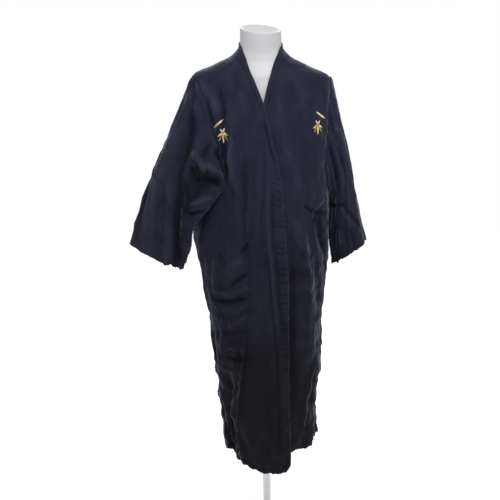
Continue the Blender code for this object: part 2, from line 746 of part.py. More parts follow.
def material(name, colour, roughness, metallic=0.0):
    made = bpy.data.materials.new(name)
    made.use_nodes = True
    shader = made.node_tree.nodes["Principled BSDF"]
    shader.inputs["Base Color"].default_value = (*colour, 1.0)
    shader.inputs["Roughness"].default_value = roughness
    shader.inputs["Metallic"].default_value = metallic
    return made


def main():
    for old in list(bpy.data.objects):
        bpy.data.objects.remove(old, do_unlink=True)
    robe = bpy.data.collections.new("kimono_robe_on_dress_form")
    bpy.context.scene.collection.children.link(robe)

    def cloth(name):
        return material(name + "_cloth", NAVY, 0.75)

    for side in (RIGHT, LEFT):
        word = WEARER_SIDE[side]
        for place, walls in body_panel(side).items():
            name = f"{word}_panel_{place}"
            wall_object(name, *walls, False, cloth(name), robe)
        name = word + "_overlap_gore"
        wall_object(name, *gore(side), False, cloth(name), robe)
        name = word + "_sleeve"
        wall_object(name, *sleeve(side), True, cloth(name), robe)
    wall_object("collar_band", *band(), False, cloth("collar_band"), robe)
    dress_form(material("form_white", WHITE, 0.4), robe)
    steel = material("stand_steel", STEEL, 0.35, 1.0)
    foot, top = SOCKET_HEIGHT + STAND_GAP, FORM_LEVELS[0] - STAND_GAP
    cylinder("stand_pole", POLE_RADIUS, foot, top, POLE_SIDES, steel, robe)
    stand_base(material("base_steel", STEEL, 0.4, 1.0), robe)


main()
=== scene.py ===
"""Looks of the kimono robe on its dress form: cloth shells, sewing, embroidery, materials and light.

Each cloth shell follows the same worked-out surface as its solid, at a finer spacing, with its creases
laid over it. Right and left are the wearer's, so the right side is at -X. Lengths are in metres, or in
millimetres where a table says mm. Angles are in degrees from the front towards the piece's own side,
and plain angles are in degrees from the front towards +X.
"""

import math

import bpy
import numpy as np
from mathutils import Matrix, Vector


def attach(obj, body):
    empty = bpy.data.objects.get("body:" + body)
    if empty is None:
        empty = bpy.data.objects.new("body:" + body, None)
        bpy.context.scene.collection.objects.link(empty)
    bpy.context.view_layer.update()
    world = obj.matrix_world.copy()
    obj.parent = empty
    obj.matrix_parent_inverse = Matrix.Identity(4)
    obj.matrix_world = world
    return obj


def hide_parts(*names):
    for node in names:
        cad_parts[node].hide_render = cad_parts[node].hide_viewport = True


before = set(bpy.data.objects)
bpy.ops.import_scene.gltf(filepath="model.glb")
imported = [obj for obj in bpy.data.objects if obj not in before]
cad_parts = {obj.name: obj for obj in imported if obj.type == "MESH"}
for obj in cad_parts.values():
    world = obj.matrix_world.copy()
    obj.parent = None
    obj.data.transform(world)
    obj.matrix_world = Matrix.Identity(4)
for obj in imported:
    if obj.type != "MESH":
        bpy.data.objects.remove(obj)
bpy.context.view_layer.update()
BODY = "root"
MM = 0.001
RIGHT, LEFT = -1, 1
WEARER_SIDE = {RIGHT: "right", LEFT: "left"}

# The cloth and the rows of its seams, as in the solids
CLOTH = 0.002
OVERLAP_LIFT, LIFT_TOP, LIFT_FADE = 0.0056, 1.480, 0.090
LIFT_SIDE, LIFT_SIDE_FADE = 58, 24
HEM_LEVEL, HEM_FADE = 0.280, 0.22
UNDERARM = 1.095
SHOULDER_LEAN, LEAN_FROM, LEAN_OVER = 0.026, 0.950, 0.450
SIDE_ROWS = 10
SKIRT_LEVELS = np.linspace(0.280, 0.840, SIDE_ROWS)
WAIST_LEVELS = np.linspace(0.885, 1.100, 6)
FRONT_LEVELS = np.concatenate([SKIRT_LEVELS, WAIST_LEVELS, np.linspace(1.158, 1.335, 4)])
BACK_LEVELS = np.concatenate([(1.470, 1.430, 1.370, 1.290, 1.200), WAIST_LEVELS[::-1], SKIRT_LEVELS[::-1]])
ARMHOLE_SAMPLES = 400
NECK_STATIONS = np.concatenate([np.linspace(0, 8, 10), np.linspace(8.6, 13, 9)])

# The shells are finer: rows for each row of a solid, and columns across
PANEL_TIMES, PANEL_COLUMNS = 12, 68
GORE_TIMES, GORE_COLUMNS = 12, {RIGHT: 36, LEFT: 26}
BAND_TIMES, BAND_COLUMNS = 24, 18
SLEEVE_TIMES, SLEEVE_RINGS = 6, 132
SHELL_INSIDE = 0.0004  # the shell's inner face lies this far inside the solid's wall
SHELL_CLOTH, SHELL_BAND = 0.0013, 0.0019
SEAM_TUCK = -0.0003  # shells run this far past their seams, so that no gap shows between them
SEAM_DIP, SEAM_DIP_WIDTH = 0.0011, 0.0034  # the cloth dips where it turns into a seam
HEM_TURN, HEM_TURN_THICK, HEM_STEP = 0.015, 0.0006, 0.004  # the turned-up hem is thicker than the cloth
HEM_GROOVE, HEM_GROOVE_WIDTH = 0.0006, 0.0016  # and its stitches pull in a groove
HEM_CURL, HEM_CURL_REACH, HEM_CURL_OFTEN = 0.0060, 0.030, 7.5  # how far the hem waves out and in
HEM_RAGGED, HEM_RAGGED_REACH = 0.0042, 0.020  # and up and down
PUCKER, PUCKER_REACH, PUCKER_SIZE = 0.0007, 0.008, 0.010  # small gathers beside the seams
CUFF_RAGGED, CUFF_RAGGED_FROM, CUFF_RAGGED_OVER = 0.0060, 0.90, 0.10  # near the cuff, by share
CUFF_EVEN, NEAR_FOLD, NEAR_FOLD_OVER = 0.35, 70, 60  # this share of it but near the fold, in degrees
CUFF_GATHER = {RIGHT: 0.0045, LEFT: 0.0026}
RELIEF_FULL = 0.0055  # a trough this deep gets the darkest painted shade, and a ridge this deep is palest, partly as wear and partly as painted highlight
SEAM_DARK, SEAM_DARK_WIDTH = 0.9, 0.0025  # the cloth is darkest where it turns into a seam
SEAM_DARK_TOP, SEAM_DARK_FADE = 1.06, 0.16  # but not on the chest, where its seams are pressed flat
WORN_WIDTH = 0.004  # edges are worn this far in
FREE_EDGE, FREE_EDGE_LEAST = 0.0016, 0.02  # the band's free edge is rounded over this width

# The robe's inner surface: height, middle, half width, front depth, back depth, squareness
SECTIONS = (
    (0.24, 0.015, 0.128, 0.119, 0.109, 2.15),
    (0.3, 0.0145, 0.131, 0.12, 0.111, 2.15),
    (0.36, 0.0115, 0.1355, 0.121, 0.113, 2.18),
    (0.44, 0.008, 0.1435, 0.123, 0.115, 2.2),
    (0.535, 0.0065, 0.1535, 0.125, 0.117, 2.25),
    (0.62, 0.0045, 0.161, 0.127, 0.119, 2.3),
    (0.7, 0.0035, 0.1675, 0.129, 0.121, 2.3),
    (0.79, 0.003, 0.176, 0.131, 0.122, 2.33),
    (0.85, 0.0015, 0.183, 0.132, 0.122, 2.35),
    (0.905, -0.002, 0.192, 0.133, 0.12, 2.35),
    (0.965, -0.006, 0.199, 0.133, 0.117, 2.35),
    (1.03, -0.005, 0.1985, 0.132, 0.114, 2.35),
    (1.11, -0.001, 0.1925, 0.131, 0.111, 2.35),
    (1.2, 0, 0.19, 0.128, 0.112, 2.3),
    (1.3, 0, 0.197, 0.119, 0.111, 2.3),
    (1.38, 0, 0.202, 0.104, 0.106, 2.2),
    (1.41, 0, 0.202, 0.096, 0.101, 2.15),
    (1.434, 0, 0.199, 0.088, 0.095, 2.1),
    (1.443, 0, 0.19, 0.085, 0.092, 2.1),
    (1.451, 0, 0.174, 0.082, 0.089, 2.1),
    (1.462, 0, 0.146, 0.077, 0.083, 2.05),
    (1.476, 0, 0.118, 0.071, 0.076, 2),
    (1.486, 0, 0.096, 0.067, 0.07, 2),
    (1.497, 0, 0.08, 0.064, 0.066, 2),
    (1.508, 0, 0.069, 0.062, 0.063, 2),
    (1.52, 0, 0.062, 0.061, 0.0612, 2),
    (1.55, 0, 0.0605, 0.0605, 0.0605, 2),
)

# How high each half's hem hangs: angle, height
HEM = {
    RIGHT: (
        (-30, 0.285), (-25, 0.27), (-20, 0.259), (-7, 0.252), (8, 0.256), (24, 0.264), (38, 0.276),
        (52, 0.29), (66, 0.306), (90, 0.304), (180, 0.3),
    ),
    LEFT: (
        (-30, 0.312), (27, 0.316), (52, 0.32), (90, 0.324), (140, 0.312), (180, 0.3),
    ),
}

# The front below the crossing: height, and the angles of its edge, its band seam and its gore seam
FRONT = {
    RIGHT: (
        (0.26, -27, -17.5, 50),
        (0.39, -28, -15, 43),
        (0.484, -27.5, -14.5, 36),
        (0.644, -28, -13.5, 26),
        (0.71, -28, -11.5, 23),
        (0.816, -28.5, -8, 19.5),
        (0.94, -29, -6.5, 14.5),
        (1, -28.5, -5, 13),
        (1.084, -25, -3.5, 13),
        (1.172, -21.5, -3, 12),
        (1.256, -15, -3.5, 9.5),
        (1.304, -10, -4.5, 4.5),
        (1.335, -6.6, -4, -3),
    ),
    LEFT: (
        (0.26, -26, -13, 26),
        (0.484, -27, -13, 25),
        (0.71, -27.5, -11, 22),
        (0.94, -27, -7, 15),
        (1.084, -23, -3.5, 13),
        (1.172, -17.5, -2, 12),
        (1.256, -10, -0.5, 9.5),
        (1.304, -4.5, 1, 7),
        (1.335, -1.3, 2.6, 3.6),
    ),
}
EDGE, BAND_SEAM, GORE_SEAM = 0, 1, 2

# The band from the crossing round to the middle of the back neck: edge and seam, angle and height each
NECK = {
    RIGHT: (
        (-4.6, 1.356, 0, 1.35),
        (-3, 1.368, 3, 1.361),
        (1, 1.388, 8, 1.381),
        (6, 1.408, 13, 1.401),
        (12, 1.431, 20, 1.426),
        (21, 1.455, 29, 1.451),
        (30, 1.478, 37, 1.468),
        (41, 1.498, 46, 1.48),
        (55, 1.514, 58, 1.488),
        (73, 1.526, 75, 1.492),
        (95, 1.532, 95, 1.494),
        (120, 1.536, 120, 1.496),
        (150, 1.539, 150, 1.498),
        (180, 1.54, 180, 1.498),
    ),
    LEFT: (
        (0.4, 1.355, 5.5, 1.35),
        (2.6, 1.368, 8.6, 1.361),
        (5.5, 1.388, 12, 1.381),
        (8.5, 1.408, 16, 1.401),
        (13.5, 1.432, 21.5, 1.426),
        (20.5, 1.458, 29, 1.451),
        (29, 1.48, 37, 1.468),
        (40, 1.498, 46, 1.48),
        (54, 1.514, 58, 1.488),
        (73, 1.526, 75, 1.492),
        (95, 1.532, 95, 1.494),
        (120, 1.536, 120, 1.496),
        (150, 1.539, 150, 1.498),
        (180, 1.54, 180, 1.498),
    ),
}

# The armhole seam, from the underarm up the front, over the shoulder and down the back: angle, height
ARMHOLE = {
    RIGHT: (
        (90, UNDERARM), (66, 1.1), (47, 1.112), (41, 1.135), (42, 1.17), (46, 1.215), (53, 1.272),
        (61, 1.335), (68, 1.388), (78, 1.426), (90, 1.4385), (100, 1.422), (109, 1.38), (116, 1.32),
        (120, 1.25), (122, 1.18), (120, 1.135), (112, 1.108), (90, UNDERARM),
    ),
    LEFT: (
        (90, UNDERARM), (84, 1.102), (79, 1.116), (76, 1.14), (75, 1.175), (76, 1.22), (77, 1.272),
        (79, 1.335), (81, 1.388), (84, 1.426), (90, 1.4385), (100, 1.422), (110, 1.38), (118, 1.32),
        (122, 1.25), (124, 1.18), (122, 1.135), (114, 1.108), (90, UNDERARM),
    ),
}

# Each hanging sleeve, from the shoulder to the cuff: share of its length, its outer edge's x, y and z,
# those of its fold under the arm, and how far its front and its back stand off between them in x and y
SLEEVE = {
    RIGHT: (
        (0, -0.206, 0, 1.439, -0.108, -0.118, 1.135, -0.036, -0.03, -0.04, 0.12),
        (0.12, -0.222, 0, 1.402, -0.128, -0.134, 1.102, -0.034, -0.03, -0.042, 0.118),
        (0.25, -0.243, -0.002, 1.34, -0.149, -0.14, 1.08, -0.03, -0.028, -0.04, 0.108),
        (0.4, -0.272, -0.008, 1.264, -0.172, -0.139, 1.056, -0.026, -0.026, -0.03, 0.09),
        (0.55, -0.308, -0.016, 1.186, -0.195, -0.126, 1.026, -0.022, -0.026, -0.014, 0.07),
        (0.7, -0.342, -0.024, 1.104, -0.211, -0.109, 0.988, -0.018, -0.027, 0, 0.054),
        (0.85, -0.37, -0.03, 1.026, -0.219, -0.095, 0.94, -0.014, -0.029, 0.008, 0.042),
        (1, -0.392, -0.036, 0.957, -0.243, -0.085, 0.886, -0.01, -0.032, 0.01, 0.034),
    ),
    LEFT: (
        (0, 0.206, 0, 1.433, 0.194, 0.03, 1.1, 0.01, -0.056, 0.004, 0.064),
        (0.12, 0.215, 0, 1.394, 0.196, 0.034, 1.086, 0.014, -0.06, 0.006, 0.064),
        (0.25, 0.226, 0, 1.335, 0.196, 0.04, 1.068, 0.016, -0.062, 0.008, 0.062),
        (0.4, 0.241, 0.001, 1.256, 0.195, 0.046, 1.044, 0.016, -0.06, 0.01, 0.06),
        (0.55, 0.255, 0.003, 1.176, 0.195, 0.051, 1.012, 0.013, -0.057, 0.012, 0.056),
        (0.7, 0.269, 0.005, 1.094, 0.196, 0.054, 0.972, 0.009, -0.053, 0.014, 0.052),
        (0.85, 0.285, 0.008, 1.014, 0.201, 0.056, 0.924, 0.004, -0.049, 0.014, 0.05),
        (1, 0.303, 0.01, 0.94, 0.208, 0.056, 0.866, 0, -0.046, 0.014, 0.048),
    ),
}
SLEEVE_FOLD = {RIGHT: (41, 1.135), LEFT: (98, 1.098)}  # where its fold meets the armhole: angle, height
SLEEVE_SETTLE = 0.50  # a sleeve has left the armhole's shape after this share of its length
METRES_PER_DEGREE = 0.003  # on the cloth, to find the armhole's point nearest to the fold
SLEEVE_CLEARANCE = 0.0078  # from the body's inner surface to the inside of a sleeve that lies over it
SLEEVE_CLEAR_FROM = 0.30  # all round the sleeve from this share on, and from the seam where it turns
LAYER_FULLNESS = 0.75  # below 1 the layers stand off more squarely near the edges
OVER_EDGE_AT = 0.15  # the share at which it is judged whether a sleeve turns back over the panel
OVER_EDGE_FROM, OVER_EDGE_RANGE = -0.48, 0.60  # cosines of the way it sets off in
SEAM_TURN = 0.0035  # the cloth runs this far into the armhole before it turns out
SEAM_RISE = (0.0010, 0.0042)  # and stands out this far, more where it turns back over the panel

# The body's largest folds: plain angle and height of the top and of the bottom, depth and half width in
# mm. Here and in the creases troughs are minus
FOLDS = (
    (-21, 1.18, -18, 0.93, -8, 14),
    (-30, 1.07, -33, 0.89, 5, 18),
    (-44, 1.03, -31, 0.75, -5.5, 15),
    (-62, 0.95, -70, 0.61, 6, 22),
    (-50, 0.69, -58, 0.28, -7, 18),
    (-72, 0.57, -68, 0.27, 7.5, 16),
    (-88, 0.67, -84, 0.27, -6, 18),
    (0, 0.61, 10, 0.28, 4, 24),
    (43, 1.08, 50, 0.81, 5.5, 20),
    (58, 1.06, 76, 1.01, -5, 11),
    (60, 1.01, 72, 0.65, -5, 22),
    (76, 0.67, 54, 0.31, 6, 22),
    (92, 0.91, 88, 0.29, -6, 24),
    (118, 1.07, 112, 0.28, 7.5, 26),
    (138, 1.17, 134, 0.28, -8, 24),
    (160, 1.25, 156, 0.28, 7, 28),
    (-118, 1.08, -114, 0.28, 7, 26),
    (-140, 1.16, -134, 0.28, -8, 24),
    (-162, 1.23, -158, 0.28, 6, 28),
)
FOLD_RADIUS = 0.15  # turns a fold's angles into a width
BODY_SCALE = (math.radians(FOLD_RADIUS), 1.0)  # metres for each degree and for each metre of height
FOLD_RISE, FOLD_END, FOLD_FADE = 0.30, 1.25, 0.25  # shares of its length where a fold begins and ends

# Smaller creases that only the shells have: as the folds, and a lean. A crease with a lean is steeper on
# one side, as where cloth hangs over itself
CREASES = (
    (-65, 1.395, -53, 1.262, -6.1, 8, 0.4),
    (-76, 1.44, -50, 1.326, 5.8, 10, 0),
    (-58, 1.425, -44, 1.315, -4.4, 8, 0),
    (-46, 1.42, -38, 1.29, 3.4, 10, 0.2),
    (-45, 1.262, -31, 1.085, -5.4, 9, 0.4),
    (-37, 1.23, -30, 1.06, 4.1, 11, 0),
    (-16, 1.2, -15, 0.96, 3.7, 8, -0.3),
    (-39, 1.285, -38, 1.13, 7.2, 7.5, -0.5),
    (-12, 0.98, -26, 0.938, -5.4, 6.6, 0.4),
    (-46, 0.882, -26, 0.924, 7, 6.8, 0.5),
    (-42, 0.834, -20, 0.888, -7.6, 6.4, 0.3),
    (-60, 0.824, -38, 0.812, 7.2, 6.8, 0.6),
    (-40, 0.812, -18, 0.842, 7.2, 6.6, 0.6),
    (-58, 0.79, -22, 0.806, -6.6, 7.4, 0.3),
    (-37, 0.756, -18, 0.8, 7, 6.2, 0.5),
    (-46, 0.72, -20, 0.756, 6.2, 6.8, 0.5),
    (-54, 0.69, -24, 0.712, -4.2, 7, 0.3),
    (-52, 0.648, -24, 0.654, 5.6, 7.4, 0.4),
    (-60, 0.612, -24, 0.624, -5.4, 9, 0.3),
    (-60, 0.578, -32, 0.576, 3.6, 8, 0.3),
    (-58, 0.52, -32, 0.53, -4, 9.5, 0.2),
    (-51, 0.738, -58, 0.634, 5.2, 5.8, 0.3),
    (-51, 0.934, -59, 0.826, 5.4, 5.2, 0.3),
    (-47, 0.95, -44, 0.892, -4.4, 7.2, 0.2),
    (-36, 0.512, -64, 0.336, 4.2, 6.6, 0.3),
    (-58, 0.476, -63, 0.35, -5.4, 6, 0.2),
    (-46, 0.478, -57, 0.34, 5.2, 5.2, 0.3),
    (-24, 0.7, -50, 0.28, 4.4, 5.2, 0.4),
    (-70, 0.93, -74, 0.74, 6.8, 8, 0.5),
    (-82, 0.96, -78, 0.8, -6.1, 8, 0),
    (-66, 0.7, -70, 0.56, -5.8, 8, 0.4),
    (-61, 0.47, -54, 0.29, 6.5, 6.5, 0.4),
    (-55, 0.45, -45, 0.28, -6.1, 6.5, 0),
    (-49, 0.43, -41, 0.275, 5.4, 6.5, -0.3),
    (-70, 0.5, -63, 0.29, -6.5, 7, 0),
    (-77, 0.44, -72, 0.29, 7.1, 7, 0.3),
    (-10, 0.392, 14, 0.296, 4.4, 11, 0.4),
    (-4, 0.52, 4, 0.38, -3.1, 14, 0),
    (-38, 0.42, -20, 0.3, 3.1, 12, 0.2),
    (47, 1.076, 57, 1.055, -5, 6, 0.5),
    (54, 1.058, 78, 1.04, -4.6, 6, 0.5),
    (56, 1.044, 67, 0.96, -5.2, 11, 0.2),
    (35, 1.048, 44, 0.944, 5.8, 7.5, 0.3),
    (42, 1, 48, 0.906, -4.4, 7, 0.2),
    (46, 0.976, 52, 0.866, 5.2, 7, 0.3),
    (33, 0.96, 32, 0.42, -4.2, 13, 0),
    (63, 0.584, 52, 0.472, 6.4, 6.2, 0.4),
    (52, 0.482, 47, 0.366, 5.8, 6, 0.4),
    (57, 0.352, 70, 0.414, 5.2, 6.2, 0.2),
    (-104, 0.556, -72, 0.548, 5.2, 11, 0.4),
    (-104, 0.506, -74, 0.5, -5.8, 12, 0),
    (-104, 0.466, -76, 0.474, 6.4, 10, 0.4),
    (-104, 0.4, -78, 0.412, -5, 12, 0),
    (104, 0.545, 72, 0.52, -5.2, 12, 0),
    (104, 0.455, 74, 0.45, -5.6, 12, 0),
    (104, 0.405, 74, 0.412, 6.2, 10, 0.4),
    (104, 0.64, 70, 0.625, 4.8, 11, 0.4),
    (1, 1.27, 0, 0.88, -2.6, 4.4, 0),
    (3, 1.33, 16, 1.182, -4.2, 3.4, 0.2),
    (12, 0.7, 14, 0.52, -2.4, 3.6, 0),
    (14, 0.53, 11, 0.3, -2.4, 3.6, 0),
    (18, 0.69, 20, 0.31, 2.6, 8, 0),
    (57, 1.062, 70, 1.088, 5.1, 7, 0.3),
    (40, 1.04, 49, 0.93, 5.8, 8.5, 0.3),
    (56, 1.034, 70, 0.83, 5.8, 9, 0.3),
    (66, 0.985, 82, 0.85, -5.4, 8.5, 0.4),
    (58, 0.905, 86, 0.88, -3.7, 6.5, 0.4),
    (30, 1.24, 46, 1.1, 2.7, 14, 0),
    (58, 0.745, 84, 0.715, 3.1, 8.5, 0.3),
    (88, 0.73, 79, 0.49, 6.1, 11, 0.3),
    (86, 0.47, 70, 0.3, -7.1, 8, 0.4),
    (64, 0.43, 57, 0.3, 6.1, 7.5, 0.3),
    (75, 0.38, 66, 0.31, 5.8, 7, -0.3),
    (94, 0.41, 88, 0.29, 6.1, 8, 0),
    (146, 1.39, 118, 1.18, 6.8, 13, 0.3),
    (152, 1.33, 128, 1.09, -6.1, 12, 0),
    (-148, 1.39, -120, 1.17, 7.1, 13, -0.3),
    (-155, 1.32, -127, 1.1, -5.8, 11, 0),
    (172, 1.3, 182, 1.04, -5.1, 15, 0.2),
    (120, 1.02, 152, 0.965, -5.8, 8, 0.5),
    (112, 0.96, 146, 0.925, 4.4, 8, 0.3),
    (-118, 1.01, -154, 0.975, -5.8, 8, 0.5),
    (-110, 0.93, -142, 0.905, 4.1, 8, 0.3),
    (104, 0.84, 100, 0.6, -6.1, 10, 0.3),
    (124, 0.76, 122, 0.43, 6.1, 11, 0),
    (148, 0.88, 146, 0.64, -5.1, 12, 0.3),
    (168, 0.72, 172, 0.42, 5.1, 12, 0),
    (-104, 0.82, -99, 0.56, -6.5, 10, -0.3),
    (-126, 0.72, -122, 0.45, 5.8, 11, 0),
    (-150, 0.83, -147, 0.56, -5.1, 12, -0.2),
    (-172, 0.64, -168, 0.4, 4.8, 12, 0),
    (108, 0.43, 103, 0.29, 6.8, 8, 0.3),
    (130, 0.4, 126, 0.29, -6.1, 8, 0),
    (155, 0.41, 160, 0.29, 6.1, 9, 0.3),
    (-112, 0.42, -106, 0.29, 6.8, 8, 0.3),
    (-134, 0.4, -129, 0.29, -6.1, 8, 0),
    (-158, 0.41, -163, 0.29, 5.8, 9, -0.3),
)
SMOOTH_ABOVE, SMOOTH_OVER = 1.470, 0.090  # creases fade out where the cloth lies on the form
SMOOTH_LEFT = 0.06  # the share of a crease that is left there
CREASE_WAVER, WAVER_LENGTH = 0.0045, 0.05  # how far a crease strays from its line, and how often
CREASE_ENDS = 0.35  # the share of a crease's length over which each end fades

# Creases of the sleeves: the same, by share of the length and degrees round from the outer edge, front plus
SLEEVE_CREASES = {
    RIGHT: (
        (0.1, 14, 0.3, 73, -6, 16, 0.2),
        (0.22, 55, 0.5, 113, -9.5, 18, 0.2),
        (0.42, 107, 1.02, 150, -10.5, 19, 0.2),
        (0.16, 44, 0.4, 92, 4.5, 11, -0.3),
        (0.42, 88, 1, 124, 4, 16, -0.2),
        (0.3, 92, 0.27, 128, 12, 8.5, 0.8),
        (0.27, 122, 0.12, 170, 13, 8, 0.8),
        (0.35, 100, 0.33, 128, -13, 8.5, 0.5),
        (0.34, 122, 0.19, 166, -15, 8.5, 0.5),
        (0.05, 100, 0.085, 172, -15, 9.5, 0),
        (0.44, 132, 0.3, 172, 8, 8, 0.6),
        (0.5, 138, 0.38, 175, -9, 8, 0.4),
        (0.06, 112, 0.2, 100, 3, 10, 0),
        (0.04, 150, 0.16, 120, -4, 9, 0.3),
        (0.45, 60, 0.95, 66, 3, 16, 0.2),
        (0.6, 30, 0.98, 40, -3, 14, 0.2),
        (0.55, 92, 0.74, 66, -2.4, 9, 0.4),
        (0.7, 100, 0.86, 70, 2.2, 9, 0.4),
        (0.12, -20, 0.45, -60, 5, 15, 0.3),
        (0.1, -60, 0.55, -100, -6, 14, 0.3),
        (0.2, -105, 0.9, -140, 6, 16, 0.3),
        (0.35, -60, 0.98, -74, -5, 14, 0.3),
        (0.5, -30, 1, -34, 3.6, 14, 0),
        (0.26, -150, 0.6, -120, -4, 10, 0.4),
    ),
    LEFT: (
        (0.2, 60, 0.42, 52, 5.2, 9, 0.4),
        (0.4, 53, 0.66, 47, 4.6, 8.5, 0.4),
        (0.24, 82, 0.5, 74, -4.4, 8.5, 0.3),
        (0.12, 94, 0.46, 118, -7, 13, 0.2),
        (0.44, 116, 0.92, 142, -3.6, 17, 0),
        (0.365, 168, 0.7, 76, -5.8, 10.5, 0.5),
        (0.66, 90, 0.93, 22, -5.6, 8.5, 0.6),
        (0.52, 120, 0.8, 76, 4, 10, 0.3),
        (0.78, 110, 1, 96, 4.4, 10, 0.3),
        (0.84, 76, 1, 66, -3.6, 8, 0.3),
        (0.72, 42, 0.98, 26, 3.4, 9, 0),
        (0.06, 30, 0.24, 40, -2.4, 10, 0),
        (0.3, 24, 0.62, 18, -3, 11, 0.3),
        (0.1, -30, 0.5, -60, 5, 14, 0.3),
        (0.14, -80, 0.6, -96, -5.6, 13, 0.3),
        (0.42, -36, 0.98, -40, -4.4, 12, 0.3),
        (0.55, -110, 1, -104, 4.6, 12, 0),
        (0.5, -84, 0.84, -60, -3.4, 9, 0.5),
    ),
}
SLEEVE_SCALE = (0.0015, 0.50)  # metres for each degree round a sleeve, and for its whole length
SLEEVE_SMOOTH = 0.08  # creases set in over this share from its seam

# Soft waves and crumpling between the creases, and where they are: low on the skirt, at the sides, on the
# chest, near a cuff and where it is gathered. Each has its beginning and how far on it is at its full
LOW_AT, LOW_OVER = 0.36, 0.30
SIDE_AT, SIDE_OVER = 20, 40
CHEST_AT, CHEST_OVER = 0.96, 0.12
CHEST_SIDE, CHEST_SIDE_OVER = 55, 40
NEAR_CUFF, NEAR_CUFF_OVER = 0.80, 0.20
GATHER_AT, GATHER_WIDTH = 135, 32
HEM_WAVES = ((1.0, 5.5, 0.3, 61), (0.8, 14.0, 0.7, 63))  # share, waves a radian, place, seed
CUFF_WAVES = ((1.0, 3.5, 71), (0.7, 9.0, 73))  # share, waves a radian, seed
HASH_X, HASH_Y, HASH_SEED, HASH_SCALE = 127.1, 311.7, 74.7, 43758.5453  # scatter the noise's slopes

# Painted shade in hollows that little light reaches, and painted light where it is minus:
# plain angle, height, half size in degrees, half size in metres, how dark
BODY_PAINTED_SHADE = (
    (-20, 1.08, 6, 0.11, 0.5),
    (-20, 0.955, 5, 0.024, 0.6),
    (-44, 0.995, 9, 0.05, 0.35),
    (-42, 0.64, 16, 0.045, 0.5),
    (-36, 0.79, 12, 0.03, 0.3),
    (-52, 0.4, 8, 0.06, 0.4),
    (-45, 1.205, 6, 0.07, 0.95),
    (62, 1, 9, 0.055, 0.55),
    (33, 0.66, 5, 0.3, 0.5),
    (6, 0.88, 6, 0.11, 0.25),
    (74, 0.56, 9, 0.16, 0.3),
    (-122, 1.06, 12, 0.08, 0.5),
    (124, 1.06, 12, 0.08, 0.5),
    (-146, 0.7, 9, 0.22, 0.35),
    (144, 0.72, 9, 0.22, 0.35),
)
# share, degrees round, half size in shares, half size in degrees, how dark; minus is painted light
SLEEVE_PAINTED_SHADE_AND_LIGHT = {
    RIGHT: (
        (0.06, 146, 0.07, 36, 1),
        (0.2, 96, 0.06, 20, 0.35),
        (0.29, 130, 0.055, 38, 1),
        (0.62, 138, 0.24, 20, 0.55),
        (0.62, 92, 0.16, 12, 0.3),
        (0.92, 60, 0.12, 50, -0.45),
        (0.4, -100, 0.16, 30, 0.4),
    ),
    LEFT: (
        (0.36, 112, 0.14, 12, 0.4),
        (0.7, 126, 0.16, 16, 0.1),
        (0.3, 160, 0.12, 26, 0.4),
        (0.6, 68, 0.4, 34, -0.7),
        (0.45, 100, 0.5, 60, -0.28),
        (0.5, -96, 0.18, 26, 0.4),
    ),
}

# Short dents across the front band, pulled in by its stitches, and the pressed fold beside its seam
DENT_TOP, DENT_STEP, DENTS = 1.262, 0.0205, 34
DENT_FROM, DENT_FROM_FADE, DENT_TO, DENT_TO_FADE = 16.0, 3, 29.0, 4  # degrees
DENT_DEPTH, DENT_WIDTH = 0.0038, 0.0034
DENT_WANDER, DENT_TILT = 0.0035, 0.00022  # dents stray from their even spacing, and tip by this per degree
PRESSED_RIDGE, PRESSED_WIDTH = 0.0040, 0.0070
PRESSED_AT, PRESSED_TROUGH_AT = 0.0075, 0.0215
PRESSED_FROM, PRESSED_FROM_FADE, PRESSED_TO, PRESSED_TO_FADE = 0.66, 0.10, 1.16, 0.08

# The dress form: height, half width, front depth, back depth
FORM = (
    (0.815, 0.15, 0.104, 0.1),
    (0.84, 0.16, 0.112, 0.108),
    (0.91, 0.162, 0.114, 0.11),
    (0.98, 0.152, 0.108, 0.1),
    (1.06, 0.144, 0.104, 0.094),
    (1.15, 0.15, 0.112, 0.096),
    (1.23, 0.162, 0.114, 0.1),
    (1.3, 0.178, 0.11, 0.101),
    (1.36, 0.19, 0.101, 0.099),
    (1.4, 0.1935, 0.0928, 0.0948),
    (1.43, 0.1925, 0.0846, 0.0906),
    (1.441, 0.1845, 0.082, 0.0887),
    (1.449, 0.17, 0.0793, 0.0861),
    (1.46, 0.144, 0.0748, 0.0808),
    (1.474, 0.116, 0.069, 0.074),
    (1.484, 0.0945, 0.0655, 0.0685),
    (1.496, 0.0785, 0.0628, 0.0646),
    (1.508, 0.0672, 0.0604, 0.0612),
    (1.52, 0.0606, 0.0597, 0.0598),
    (1.55, 0.0595, 0.0594, 0.0594),
    (1.58, 0.0588, 0.0588, 0.0588),
)
FORM_SQUARENESS, FORM_COLUMNS = 0.2, 120
SHOULDER_TOP, SHOULDER_DEPTH = 1.450, 0.100
NECK_STRAIGHT, NECK_TOP = 1.520, 1.573  # the skin's neck ends 7 mm higher than the solid's
NECK_TILT_SIDE, NECK_TILT_FRONT = math.radians(5.0), math.radians(8.0)
NECK_EDGE = 0.0045  # the neck's cut edge is rounded to this radius
NECK_EDGE_ROWS = 8
CAP_SHARES = (0.3, 0.6, 0.9)  # how far in the rings of the cap in the neck lie
FOOT_ROUNDING = ((0.004, 0.0015), (0.0012, 0.0004))  # the foot's edge turns in and up
FORM_TORSO_TOP, FORM_TORSO_ROWS = 1.400, 40
FORM_NECK_FOOT, FORM_NECK_ROWS = 1.405, 56

